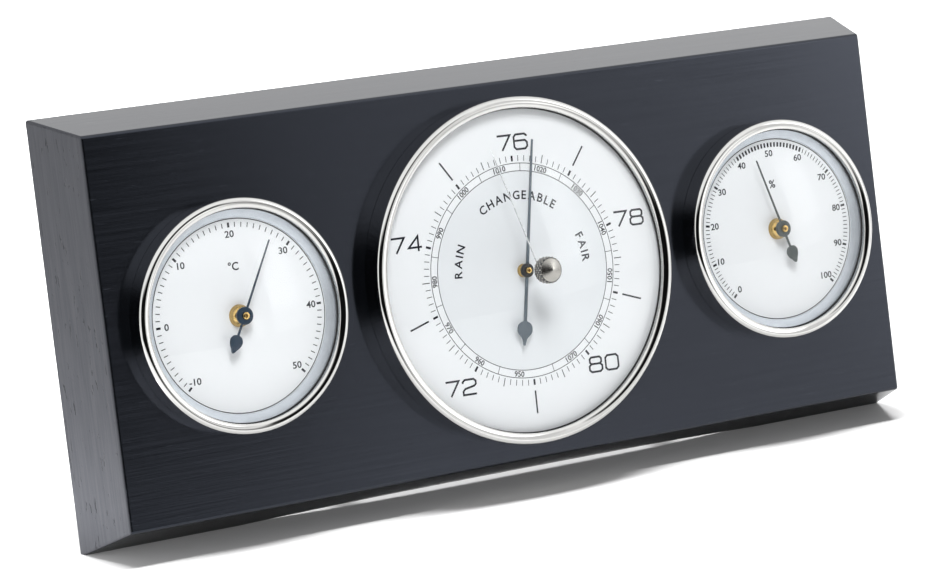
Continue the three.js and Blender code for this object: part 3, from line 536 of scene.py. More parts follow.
class RepeatTrees:
    """Geometry Nodes trees for scale marks, a knurl and things set on a circle."""

    INPUTS: dict[Repeats, dict[str, tuple[str, ...]]] = {
        Repeats.TICKS: {
            "Int": ("Count", "Skip", "Phase"),
            "Float": ("First", "Step", "Inner", "Outer", "Width", "Thickness"),
        },
        Repeats.KNURL: {
            "Int": ("Around", "Rows"),
            "Float": ("Radius", "Start", "Pitch", "Width", "Height"),
        },
        Repeats.CIRCLE: {
            "Object": ("Template",),
            "Int": ("Count",),
            "Float": ("Radius", "First", "Step", "Spin"),
        },
    }

    def __init__(self) -> None:
        """Builds each tree once."""
        makers = {
            Repeats.TICKS: self._ticks, Repeats.KNURL: self._knurl, Repeats.CIRCLE: self._circle,
        }
        self.trees = {kind: self._tree(kind, make) for kind, make in makers.items()}

    def _tree(self, kind: Repeats, make: Maker) -> bpy.types.NodeTree:
        """Tree with its named inputs, ending in plain geometry with a material."""
        tree = bpy.data.node_groups.new(kind.value, "GeometryNodeTree")
        face = tree.interface
        for sort, names in {**self.INPUTS[kind], "Material": ("Finish",)}.items():
            for name in names:
                face.new_socket(name, in_out="INPUT", socket_type=f"NodeSocket{sort}")
        face.new_socket("Mesh", in_out="OUTPUT", socket_type="NodeSocketGeometry")
        bench = NodeBench(tree)
        given = bench.add("NodeGroupInput").outputs
        plain = bench.out("GeometryNodeRealizeInstances", {"Geometry": make(bench, given)})
        dressed = bench.out(
            "GeometryNodeSetMaterial", {"Geometry": plain, "Material": given["Finish"]}
        )
        bench.add("NodeGroupOutput", {"Mesh": dressed})
        return tree

    @staticmethod
    def _on_circle(
        bench: NodeBench, angle: Socket, radius: Socket, z: object = 0.0,
        waves: tuple[str, str] = ("COSINE", "SINE"),
    ) -> Socket:
        """Place at an angle on a circle, counted as the two waves say."""
        x, y = (bench.math("MULTIPLY", bench.math(wave, angle), radius) for wave in waves)
        return bench.vector(x, y, z)

    @staticmethod
    def _copies(
        bench: NodeBench, model: Socket, count: Socket, place: Socket, spin: Socket,
        **more: Socket,
    ) -> Socket:
        """Copies of a model, each at its place and turned by its angles."""
        points = bench.out("GeometryNodePoints", {"Count": count, "Position": place})
        turn = bench.out("FunctionNodeEulerToRotation", {0: spin})
        inputs = {"Points": points, "Instance": model, "Rotation": turn, **more}
        return bench.out("GeometryNodeInstanceOnPoints", inputs)

    def _ticks(self, bench: NodeBench, given: Given) -> Socket:
        """Flat bars on a circle, clockwise from the top, with every so many left out."""
        index = bench.out("GeometryNodeInputIndex")
        angle = bench.math("MULTIPLY_ADD", index, given["Step"], given["First"])
        middle = bench.math("MULTIPLY", bench.math("ADD", given["Inner"], given["Outer"]), 0.5)
        place = self._on_circle(bench, angle, middle, waves=("SINE", "COSINE"))
        length = bench.math("SUBTRACT", given["Outer"], given["Inner"])
        size = bench.vector(given["Width"], length, given["Thickness"])
        bar = bench.out("GeometryNodeMeshCube", {"Size": size})
        spin = bench.vector(z=bench.math("MULTIPLY", angle, -1.0))
        count = bench.math("MAXIMUM", given["Skip"], 1.0)
        rest = bench.math("MODULO", bench.math("ADD", index, given["Phase"]), count)
        kept = bench.math("GREATER_THAN", rest, 0.5)
        every = bench.math("LESS_THAN", given["Skip"], 1.5)
        chosen = bench.math("MAXIMUM", kept, every)
        return self._copies(bench, bar, given["Count"], place, spin, Selection=chosen)

    def _knurl(self, bench: NodeBench, given: Given) -> Socket:
        """Rows of small pyramids on a cylinder, each row half a pitch on from the last."""
        index = bench.out("GeometryNodeInputIndex")
        row = bench.math("FLOOR", bench.math("DIVIDE", index, given["Around"]))
        column = bench.math("MODULO", index, given["Around"])
        half = bench.math("MULTIPLY", bench.math("MODULO", row, 2.0), 0.5)
        share = bench.math("DIVIDE", bench.math("ADD", column, half), given["Around"])
        angle = bench.math("MULTIPLY", share, FULL_TURN)
        z = bench.math("MULTIPLY_ADD", row, given["Pitch"], given["Start"])
        place = self._on_circle(bench, angle, given["Radius"], z)
        total = bench.math("MULTIPLY", given["Around"], given["Rows"])
        stud = bench.out(
            "GeometryNodeMeshCone",
            {"Vertices": 4, "Radius Bottom": given["Width"], "Depth": given["Height"]},
        )
        spin = bench.vector(y=math.pi / 2.0, z=angle)
        return self._copies(bench, stud, total, place, spin)

    def _circle(self, bench: NodeBench, given: Given) -> Socket:
        """Copies of a template on a circle."""
        index = bench.out("GeometryNodeInputIndex")
        angle = bench.math("MULTIPLY_ADD", index, given["Step"], given["First"])
        place = self._on_circle(bench, angle, given["Radius"])
        model = bench.add(
            "GeometryNodeObjectInfo", {"Object": given["Template"], "As Instance": True}
        ).outputs["Geometry"]
        spin = bench.vector(z=bench.math("MULTIPLY", index, given["Spin"]))
        return self._copies(bench, model, given["Count"], place, spin)

    def make(self, kind: Repeats, **values: object) -> Shell:
        """Runs a tree and returns its mesh as a shell in millimetres.

        Args:
            kind: Which tree.
            **values: One value for each named input that isn't left at zero.

        Returns:
            The plain result.
        """
        tree = self.trees[kind]
        item = put(kind.value, bpy.data.meshes.new(kind.value))
        step = item.modifiers.new(kind.value, "NODES")
        step.node_group = tree
        for socket in tree.interface.items_tree:
            name = socket.name.lower()
            if socket.in_out == "INPUT" and name in values:
                step[socket.identifier] = values[name]
        return Shell.of_mesh(evaluated(item))


# ---------------------------------------------------------------- finishes


class Marks(Enum):
    """Tool marks left on a metal."""

    TURNED = "turned"
    BRUSHED = "brushed"
    ROLLED = "rolled"
    NONE = "none"


class Effects:
    """Shader groups that several finishes share."""

    def __init__(self, panel: Panel) -> None:
        """Builds the groups."""
        self.panel = panel
        self.mottle = self._group("soft_mottle", ("Scale", "Low", "High"), self._mottle)
        self.turning = self._group("lathe_rings", ("Pitch",), self._turning)
        self.brushing = self._group("straight_brushing", ("Fineness",), self._brushing)

    @staticmethod
    def _group(name: str, inputs: Sequence[str], make: Maker) -> bpy.types.NodeTree:
        """Group with a Vector input, plain number inputs and one value as output."""
        tree = bpy.data.node_groups.new(name, "ShaderNodeTree")
        face = tree.interface
        face.new_socket("Vector", in_out="INPUT", socket_type="NodeSocketVector")
        for label in inputs:
            face.new_socket(label, in_out="INPUT", socket_type="NodeSocketFloat")
        face.new_socket("Value", in_out="OUTPUT", socket_type="NodeSocketFloat")
        bench = NodeBench(tree)
        value = make(bench, bench.add("NodeGroupInput").outputs)
        bench.add("NodeGroupOutput", {"Value": value})
        return tree

    @staticmethod
    def _mottle(bench: NodeBench, given: Given) -> Socket:
        """Soft uneven patches with a finer speckle in them."""
        broad = bench.out(
            "ShaderNodeTexNoise",
            {"Vector": given["Vector"], "Scale": given["Scale"], "Detail": 5.0, "Roughness": 0.6},
        )
        return bench.fit(broad, 0.3, 0.7, given["Low"], given["High"])

    @staticmethod
    def _turning(bench: NodeBench, given: Given) -> Socket:
        """Fine rings left by a lathe about the z axis."""
        parts = bench.parts(bench.scaled(given["Vector"], (1.0, 1.0, 0.6)))
        radius = bench.distance(parts[0], parts[1])
        along = bench.math("DIVIDE", bench.math("ADD", radius, parts[2]), given["Pitch"])
        inputs = {"W": along, "Scale": 1.0, "Detail": 3.0}
        return bench.out("ShaderNodeTexNoise", inputs, noise_dimensions="1D")

    @staticmethod
    def _brushing(bench: NodeBench, given: Given) -> Socket:
        """Fine straight scratches along x."""
        spread = bench.scaled(given["Vector"], (0.03, 1.0, 1.0))
        inputs = {"Vector": spread, "Scale": given["Fineness"], "Detail": 3.0}
        return bench.out("ShaderNodeTexNoise", inputs)

    @staticmethod
    def use(bench: NodeBench, group: bpy.types.NodeTree, **inputs: object) -> Socket:
        """Places a group in a material and gives back its output."""
        return bench.out("ShaderNodeGroup", inputs, node_tree=group)

    def patches(
        self, bench: NodeBench, place: Socket, scale: float, low: float = 0.0, high: float = 1.0
    ) -> Socket:
        """Soft patches of a scale, between two values."""
        return self.use(bench, self.mottle, Vector=place, Scale=scale, Low=low, High=high)

    def panel_mm(self, bench: NodeBench, x: float = 0.0) -> Socket:
        """Object coordinates as millimetres about a gauge's centre."""
        inputs = {
            "Vector": bench.add("ShaderNodeTexCoord").outputs["Object"],
            "Location": self.panel.centre(x),
            "Rotation": self.panel.turn,
            "Scale": (MM, MM, MM),
        }
        return bench.out("ShaderNodeMapping", inputs, vector_type="TEXTURE")


def new_material(name: str) -> tuple[bpy.types.Material, NodeBench, bpy.types.Node]:
    """Material with one Principled shader.

    Args:
        name: Name of the material.

    Returns:
        The material, a bench on its tree and the shader.
    """
    material = bpy.data.materials.new(name)
    material.use_nodes = True
    material.node_tree.nodes.clear()
    bench = NodeBench(material.node_tree)
    shader = bench.add("ShaderNodeBsdfPrincipled")
    bench.add("ShaderNodeOutputMaterial", {"Surface": shader.outputs[0]})
    return material, bench, shader


@dataclass(frozen=True)
class Finish:
    """Named look of a surface, with the name of a slot of the record."""

    name: str
    slot: str | None = field(default=None, kw_only=True)

    def build(self, effects: Effects) -> bpy.types.Material:
        """Makes the material."""
        raise NotImplementedError


@dataclass(frozen=True)
class Metal(Finish):
    """Metal with tool marks, uneven tone and a range of roughness."""

    colour: Triple
    shade: Triple
    smooth: float
    rough: float
    marks: Marks = Marks.ROLLED
    pitch: float = 0.25
    depth: float = 0.004
    metallic: float = 1.0
    x: float = 0.0
    tone_scale: float = 0.35
    rough_scale: float = 1.1

    def build(self, effects: Effects) -> bpy.types.Material:
        """Makes the material."""
        material, bench, shader = new_material(self.name)
        place = effects.panel_mm(bench, self.x)
        tone = effects.patches(bench, place, self.tone_scale)
        bench.dress(
            shader, Metallic=self.metallic,
            Base_Color=bench.mixed(tone, self.colour, self.shade),
            Roughness=effects.patches(bench, place, self.rough_scale, self.smooth, self.rough),
        )
        if self.marks is not Marks.NONE:
            height = self._height(effects, bench, place)
            bench.dress(shader, Normal=bench.bump(height, self.depth))
        return material

    def _height(self, effects: Effects, bench: NodeBench, place: Socket) -> Socket:
        """Height of the tool marks."""
        if self.marks is Marks.TURNED:
            return effects.use(bench, effects.turning, Vector=place, Pitch=self.pitch)
        if self.marks is Marks.BRUSHED:
            return effects.use(bench, effects.brushing, Vector=place, Fineness=1.0 / self.pitch)
        return effects.patches(bench, place, 1.0 / self.pitch)


@dataclass(frozen=True)
class Coating(Finish):
    """Paint, ink or rubber: a coloured coat with a fine texture."""

    colour: Triple
    shade: Triple
    smooth: float
    rough: float
    grain: float = 4.0
    depth: float = 0.01
    specular: float = 0.5
    tone_scale: float = 0.5

    def build(self, effects: Effects) -> bpy.types.Material:
        """Makes the material."""
        material, bench, shader = new_material(self.name)
        place = effects.panel_mm(bench)
        tone = effects.patches(bench, place, self.tone_scale)
        fine = effects.patches(bench, place, self.grain)
        bench.dress(
            shader, Specular_IOR_Level=self.specular,
            Base_Color=bench.mixed(tone, self.colour, self.shade),
            Roughness=bench.fit(fine, low=self.smooth, high=self.rough),
            Normal=bench.bump(fine, self.depth),
        )
        return material


@dataclass(frozen=True)
class Lacquer(Finish):
    """Black lacquer over open-pored wood whose grain runs along x, greyer on the end grain."""

    name: str = "black_lacquer"
    colour: Triple = (0.0017, 0.0021, 0.0028)
    worn: Triple = (0.003, 0.0035, 0.0045)
    end_colour: Triple = (0.05, 0.051, 0.056)
    end_dark: Triple = (0.032, 0.033, 0.038)
    pit_colour: Triple = (0.006, 0.006, 0.007)
    tint: Triple = (0.73, 0.8, 1.0)
    end_tint: Triple = (0.66, 0.69, 0.79)
    ior: float = 1.5
    smooth: float = 0.11
    rough: float = 0.18
    end_rough: float = 0.45
    grain_depth: float = 0.02
    pore_depth: float = 0.012
    pit_depth: float = 0.15
    half_width: float = 136.4
    end_slope: float = 0.2977

    def build(self, effects: Effects) -> bpy.types.Material:
        """Makes the material."""
        material, bench, shader = new_material(self.name)
        place = effects.panel_mm(bench)
        end = self._end(bench, place)
        fibre = self._noise(bench, place, (0.018, 1.0, 1.0), 0.9, 6.0)
        streak = self._noise(bench, place, (1.0, 0.03, 1.0), 1.4, 5.0)
        cells = self._noise(bench, place, (0.085, 1.0, 1.0), 1.7, 2.0)
        holes = self._noise(bench, place, (1.0, 0.16, 1.0), 1.1, 3.0)
        pores = bench.fit(cells, 0.68, 0.78)
        pits = bench.fit(holes, 0.64, 0.68)
        tone = effects.patches(bench, place, 0.03)
        side = bench.mixed(tone, self.colour, self.worn)
        cross = bench.mixed(bench.fit(streak, 0.35, 0.65), self.end_colour, self.end_dark)
        cross = bench.mixed(pits, cross, self.pit_colour)
        rough = bench.fit(fibre, 0.3, 0.7, self.smooth, self.rough)
        grain = bench.math("MULTIPLY", fibre, self.grain_depth)
        height = bench.math("MULTIPLY_ADD", pores, -self.pore_depth, grain)
        sunk = bench.math("MULTIPLY", pits, end)
        height = bench.math("MULTIPLY_ADD", sunk, -self.pit_depth, height)
        bench.dress(
            shader, IOR=self.ior, Base_Color=bench.mixed(end, side, cross),
            Roughness=bench.math("MAXIMUM", rough, bench.math("MULTIPLY", end, self.end_rough)),
            Normal=bench.bump(height, 1.0),
            Specular_Tint=bench.mixed(end, self.tint, self.end_tint),
        )
        return material

    @staticmethod
    def _noise(
        bench: NodeBench, place: Socket, squeeze: Triple, scale: float, detail: float
    ) -> Socket:
        """Noise drawn out along the axes that are squeezed."""
        inputs = {
            "Vector": bench.scaled(place, squeeze), "Scale": scale, "Detail": detail,
            "Roughness": 0.62, "Distortion": 0.25,
        }
        return bench.out("ShaderNodeTexNoise", inputs)

    def _end(self, bench: NodeBench, place: Socket) -> Socket:
        """One on the two bevelled ends of the block."""
        parts = bench.parts(place)
        edge = bench.math("MULTIPLY_ADD", parts[2], -self.end_slope, self.half_width)
        beyond = bench.math("SUBTRACT", bench.math("ABSOLUTE", parts[0]), edge)
        return bench.fit(beyond, -0.5, -0.15)


@dataclass(frozen=True)
class DialCoat(Finish):
    """Silvered white dial whose inner disc is a little greyer than its rim."""

    rim: Triple
    disc: Triple
    disc_radius: float
    x: float = 0.0
    soft: float = 0.05
    depth: float = 0.003

    def build(self, effects: Effects) -> bpy.types.Material:
        """Makes the material."""
        material, bench, shader = new_material(self.name)
        place = effects.panel_mm(bench, self.x)
        parts = bench.parts(place)
        near, far = self.disc_radius - self.soft, self.disc_radius + self.soft
        inside = bench.fit(bench.distance(parts[0], parts[1]), near, far, 1.0, 0.0)
        speck = effects.patches(bench, place, 6.0, 0.85, 1.0)
        factor = bench.math("MULTIPLY", inside, speck)
        bench.dress(
            shader, Base_Color=bench.mixed(factor, self.rim, self.disc),
            Roughness=effects.patches(bench, place, 8.0, 0.42, 0.55),
            Normal=bench.bump(speck, self.depth),
        )
        return material


@dataclass(frozen=True)
class ClearGlass(Finish):
    """Clear coated glass that mirrors little and lets lamps through."""

    name: str = "clear_glass"
    tint: Triple = (0.985, 0.995, 0.992)
    through: Triple = (0.97, 0.975, 0.975)
    ior: float = 1.22

    def build(self, effects: Effects) -> bpy.types.Material:
        """Makes the material."""
        material, bench, shader = new_material(self.name)
        rough = effects.patches(bench, effects.panel_mm(bench), 0.06, 0.0, 0.02)
        bench.dress(
            shader, Transmission_Weight=1.0, IOR=self.ior, Base_Color=self.tint, Roughness=rough
        )
        path = bench.add("ShaderNodeLightPath").outputs
        passing = bench.math("MAXIMUM", path["Is Shadow Ray"], path["Is Diffuse Ray"])
        clear = bench.out("ShaderNodeBsdfTransparent", {"Color": self.through})
        both = bench.out("ShaderNodeMixShader", {0: passing, 1: shader.outputs[0], 2: clear})
        output = next(n for n in bench.tree.nodes if n.type == "OUTPUT_MATERIAL")
        bench.feed(output.inputs["Surface"], both)
        return material


class Finishes:
    """All materials of the station, built once and found by name."""

    COMMON: tuple[Finish, ...] = (
        Lacquer(slot="black_lacquer"),
        ClearGlass(slot="clear_glass"),
        Coating(
            "black_rubber", (0.018, 0.018, 0.019), (0.03, 0.03, 0.03), 0.7, 0.9, 2.5, 0.03,
            slot="black_rubber",
        ),
        Coating(
            "dial_ink", (0.006, 0.007, 0.013), (0.01, 0.012, 0.02), 0.5, 0.65, specular=0.2
        ),
        Coating("blued_steel", (0.004, 0.019, 0.042), (0.006, 0.024, 0.05), 0.28, 0.4),
        Coating("green_slate_steel", (0.045, 0.056, 0.056), (0.06, 0.07, 0.07), 0.3, 0.42),
        Coating("slate_steel", (0.075, 0.1, 0.125), (0.095, 0.12, 0.145), 0.3, 0.42),
        Coating("hub_black", (0.01, 0.01, 0.012), (0.016, 0.016, 0.018), 0.25, 0.4),
        Metal(
            "silver_needle", (0.86, 0.87, 0.88), (0.8, 0.81, 0.83), 0.18, 0.3, Marks.BRUSHED,
            slot="satin_steel",
        ),
        Metal("brass", (0.52, 0.37, 0.16), (0.43, 0.29, 0.11), 0.14, 0.26, slot="brass"),
        Metal("copper_bronze", (0.6, 0.4, 0.26), (0.5, 0.33, 0.2), 0.25, 0.4, Marks.BRUSHED),
        Metal(
            "satin_steel", (0.6, 0.61, 0.63), (0.52, 0.53, 0.55), 0.28, 0.4, Marks.BRUSHED,
            slot="satin_steel",
        ),
        Metal(
            "zinc_steel", (0.4, 0.415, 0.435), (0.31, 0.325, 0.345), 0.35, 0.5, pitch=0.8,
            slot="zinc_steel",
        ),
        Metal(
            "nickel", (0.31, 0.303, 0.282), (0.27, 0.264, 0.247), 0.2, 0.27, Marks.TURNED, 0.12,
            0.008, slot="polished_steel",
        ),
    )
    RIM: Triple = (0.885, 0.895, 0.92)
    DISC: Triple = (0.88, 0.89, 0.915)
    BARO_DISC: Triple = (0.8, 0.82, 0.85)
    DISC_RADIUS = 29.5

    def __init__(self, effects: Effects, gauge_x: dict[str, float]) -> None:
        """Builds the materials."""
        finishes = [*self.COMMON]
        for name, x in gauge_x.items():
            finishes.extend(self._own(name, x))
        self.slots = {finish.name: finish.slot for finish in finishes}
        self.materials = {finish.name: finish.build(effects) for finish in finishes}

    def _own(self, name: str, x: float) -> list[Finish]:
        """Finishes that are laid out round one gauge's centre; the barometer has no reflector."""
        polished = Metal(
            f"polished_steel_{name}", (0.5, 0.498, 0.487), (0.475, 0.473, 0.463), 0.03, 0.06,
            Marks.NONE, x=x, slot="polished_steel",
        )
        reflector = Metal(
            f"reflector_steel_{name}", (0.6, 0.635, 0.69), (0.55, 0.585, 0.64), 0.33, 0.42,
            Marks.TURNED, 0.2, 0.002, metallic=0.45, x=x, slot="satin_steel",
        )
        large = name == "barometer"
        dial = DialCoat(
            f"silvered_white_{name}", self.RIM, self.BARO_DISC if large else self.DISC,
            self.DISC_RADIUS, x, slot="silvered_white",
        )
        return [polished, dial] if large else [polished, reflector, dial]


# ---------------------------------------------------------------- pieces


@dataclass
class Workshop:
    """What every sub-assembly needs to make its pieces."""

    panel: Panel
    finishes: Finishes
    trees: RepeatTrees
    made: list[str] = field(default_factory=list)

    def piece(
        self, name: str, shell: Shell, finish: str, nodes: Sequence[str] = (), body: str = BLOCK,
        slot: str | None = None, x: float = 0.0,
    ) -> None:
        """Makes a finished piece and rides it on its body.

        Args:
            name: Name of the piece.
            shell: Its shape in millimetres about a gauge's centre.
            finish: Name of its finish.
            nodes: CAD nodes that it stands for.
            body: CAD body that it moves with.
            slot: Material slot of the record, where it isn't the finish's own; not used.
            x: Place of the gauge's centre along the panel.
        """
        mesh = shell.moved(self.panel.matrix(x)).to_mesh(name, WELD_M)
        self.place(name, mesh, finish, nodes, body, slot)

    def place(
        self, name: str, mesh: bpy.types.Mesh, finish: str, nodes: Sequence[str] = (),
        body: str = BLOCK, slot: str | None = None,
    ) -> None:
        """Puts a mesh that is already in the world into the scene as a piece."""
        mesh.materials.clear()
        mesh.materials.append(self.finishes.materials[finish])
        item = put(name, mesh)
        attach(item, body)
        if nodes:
            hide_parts(*nodes)
        slot = slot or self.finishes.slots[finish]
        self.made.append(name)
        LOG.info("%s: %d faces on %s", name, len(mesh.polygons), body)


@dataclass
class WoodBlock:
    """Bevelled wooden block with its three bores and its planed resting edge."""

    front_width: float = 272.8
    front_height: float = 112.6
    depth: float = 21.5
    bevel: float = 6.4
    edge_radius: float = 0.8
    bores: tuple[Point, ...] = ((-95.0, 30.2), (0.0, 48.0), (95.0, 30.2))
    bore_chamfer: float = 0.6
    socket_radius: float = 4.0
    socket_depth: float = 10.3
    socket_x: float = 56.5
    socket_y: float = -48.7
    land: float = 50.0
    arch_height: float = 2.6
    arch_power: float = 3.0
    arch_steps: int = 48
    plane_margin: float = 9.0
    plane_depth: float = 40.0
    arch_depth: float = 30.0

    def build(self, shop: Workshop) -> None:
        """Carves and dresses the block."""
        shell = carved(self._rounded(), self._tools(shop.panel))
        mesh = self._weighted(shell.moved(shop.panel.matrix()))
        shop.place("block_of_wood", mesh, "black_lacquer", ["wood_block"])

    def _rounded(self) -> Shell:
        """Block with rounded edges before anything is cut from it."""
        half_x, half_y = self.front_width / 2.0, self.front_height / 2.0
        work = bmesh.new()
        rings = []
        for z, out in ((0.0, 0.0), (-self.depth, self.bevel)):
            x, y = half_x + out, half_y + out
            rings.append([work.verts.new((*corner, z)) for corner in rect(-x, -y, x, y)])
        front, back = rings
        work.faces.new(front)
        work.faces.new(list(reversed(back)))
        for k in range(4):
            n = (k + 1) % 4
            work.faces.new((front[n], front[k], back[k], back[n]))
        bmesh.ops.bevel(
            work, geom=list(work.edges), offset=self.edge_radius, offset_type="OFFSET",
            segments=4, profile=0.5, affect="EDGES",
        )
        mesh = bpy.data.meshes.new("rounded_block")
        work.to_mesh(mesh)
        work.free()
        return Shell.of_mesh(mesh)

    def _tools(self, panel: Panel) -> list[Shell]:
        """Drills and planes, in panel millimetres."""
        back = -self.depth
        beyond = back - CUT_CLEAR
        tools = []
        for x, radius in self.bores:
            flare = radius + self.bore_chamfer
            drill = turned([
                (0.0, CUT_CLEAR), (radius, CUT_CLEAR), (radius, back + self.bore_chamfer),
                (flare, back), (flare, beyond), (0.0, beyond),
            ])
            tools.append(drill.shifted(x, 0.0))
        socket = turned(rect(0.0, back + self.socket_depth, self.socket_radius, beyond), ROD_STEPS)
        for side in (-1.0, 1.0):
            tools.append(socket.shifted(side * self.socket_x, self.socket_y))
        to_panel = panel.matrix().inverted()
        half = self.front_width / 2.0 + self.bevel
        wide = half + self.plane_margin
        tools.append(self._prism(rect(-wide, -self.plane_depth, wide, 0.0)).moved(to_panel))
        reach = half - self.land
        shares = [1.0 - 2.0 * k / self.arch_steps for k in range(self.arch_steps + 1)]
        arch = [
            (reach * t, self.arch_height * (1.0 - abs(t) ** self.arch_power)) for t in shares
        ]
        foot = [(-reach, -self.arch_depth), (reach, -self.arch_depth)]
        tools.append(self._prism([*foot, *arch]).moved(to_panel))
        return tools

    @staticmethod
    def _prism(outline: Outline, half_length: float = 90.0) -> Shell:
        """Outline in world x and z, in millimetres, drawn out along y and given in metres."""
        flat = plate(outline, -half_length, half_length)
        upright = Matrix(((1, 0, 0, 0), (0, 0, -1, 0), (0, 1, 0, 0), (0, 0, 0, 1)))
        return flat.moved(Matrix.Scale(MM, 4) @ upright)

    @staticmethod
    def _weighted(shell: Shell) -> bpy.types.Mesh:
        """Mesh whose flat faces stay flat in shading beside the rounded edges."""
        item = put("weighting", shell.to_mesh("block_of_wood", WELD_BLOCK_M))
        item.modifiers.new("weighting", "WEIGHTED_NORMAL").keep_sharp = True
        return evaluated(item)


@dataclass
class Stand:
    """Two pegs in brass sleeves, with rubber tips on the floor."""

    spread: float = 56.5
    y: float = -48.7
    back: float = -21.5
    end: float = -64.34
    peg_radius: float = 2.5
    thread_radius: float = 2.0
    thread_pitch: float = 0.7
    thread_depth: float = 0.3
    gap: float = 0.3
    sleeve_radius: float = 3.7
    sleeve_length: float = 10.0
    tip_radius: float = 3.7
    tip_length: float = 11.0
    tip_end: float = 2.0
    tip_gap: float = 0.05
    groove_drop: float = 2.2
    groove_depth: float = 0.35

    def build(self, shop: Workshop) -> None:
        """Makes both legs."""
        for x, side in ((-self.spread, "left"), (self.spread, "right")):
            sleeve, peg = (part.shifted(x, self.y) for part in (self._sleeve(), self._peg()))
            shop.piece(f"brass_sleeve_{side}", sleeve, "brass", [f"leg_insert_{side}"])
            shop.piece(f"steel_peg_{side}", peg, "satin_steel", [f"leg_peg_{side}"])
            tip = self._tip().shifted(x, self.y).moved(shop.panel.matrix())
            for point in tip.points:
                point.z = max(point.z, 0.0)
            name = f"rubber_tip_{side}"
            shop.place(name, tip.to_mesh(name, WELD_M), "black_rubber", [f"leg_tip_{side}"])

    def _sleeve(self) -> Shell:
        """Sleeve in the block."""
        bore, top = self.thread_radius + self.gap, self.back + self.sleeve_length
        return turned(eased(rect(bore, self.back, self.sleeve_radius, top), 0.35), PEG_STEPS)

    def _peg(self) -> Shell:
        """Peg with a groove below its shoulder and a thread above it."""
        low, shoulder = self.end + self.tip_end, self.back - self.gap
        groove, peg = shoulder - self.groove_drop, self.peg_radius
        neck, top = peg - self.groove_depth, self.back + self.sleeve_length
        return turned([
            (0.0, low), (peg - 0.4, low), (peg, low + 0.4), (peg, groove - 0.9),
            (neck, groove - 0.55), (neck, groove - 0.25), (peg, groove + 0.1),
            (peg, shoulder - 0.3), (peg - 0.3, shoulder), (self.thread_radius, shoulder),
            *self._thread(shoulder, top - 0.9), (self.thread_radius - 0.4, top - self.gap),
            (0.0, top - self.gap),
        ], PEG_STEPS)

    def _tip(self) -> Shell:
        """Rubber cap, before the floor flattens it."""
        end, mouth = self.end, self.end + self.tip_length
        inner, seat = self.peg_radius + self.tip_gap, end + self.tip_end - self.tip_gap
        return turned(eased([
            (0.0, end), (self.tip_radius, end), (self.tip_radius, mouth), (inner, mouth),
            (inner, seat), (0.0, seat),
        ], 0.7, 6), PEG_STEPS)

    def _thread(self, low: float, high: float) -> list[Point]:
        """Ridges of the thread, as a profile."""
        ridges: list[Point] = []
        pitch, root = self.thread_pitch, self.thread_radius - self.thread_depth
        for k in range(int((high - low) / pitch)):
            ridges.append((root, low + (k + 0.45) * pitch))
            ridges.append((self.thread_radius, low + (k + 0.95) * pitch))
        return ridges


@dataclass(frozen=True)
class PointerForm:
    """Outline of a pointer, from its tip to its spade."""

    tip: float
    tail: float
    spade: float
    leaf: float
    hub: float
    root: float
    point: float
    shares: tuple[Point, ...]
    ease: float = 0.06

    def blade(self, low: float, high: float) -> Shell:
        """Flat blade from the tip to the end of the spade."""
        span = self.tail - self.spade
        leaf = [(self.leaf * across, -self.spade - span * along) for along, across in self.shares]
        root, point = self.root / 2.0, self.point / 2.0
        curve = smooth_path([(root, -self.spade), *leaf, (point, -self.tail)])
        side = [(point, self.tip), (root, 0.0), *curve]
        mirrored = [(-x, y) for x, y in reversed(side)]
        return plate([*side, *mirrored], low, high, self.ease)


SMALL_POINTER = PointerForm(
    23.0, 11.3, 5.9, 2.0, 2.55, 0.62, 0.36,
    (
        (0.02, 0.3), (0.08, 0.68), (0.26, 0.98), (0.44, 0.98), (0.63, 0.77), (0.8, 0.46),
        (0.93, 0.26),
    ),
)
BARO_POINTER = PointerForm(
    38.8, 22.2, 15.0, 2.55, 2.1, 0.95, 0.55,
    (
        (0.02, 0.34), (0.06, 0.58), (0.16, 0.88), (0.33, 1.0), (0.48, 0.92), (0.6, 0.64),
        (0.7, 0.36), (0.82, 0.22),
    ),
)


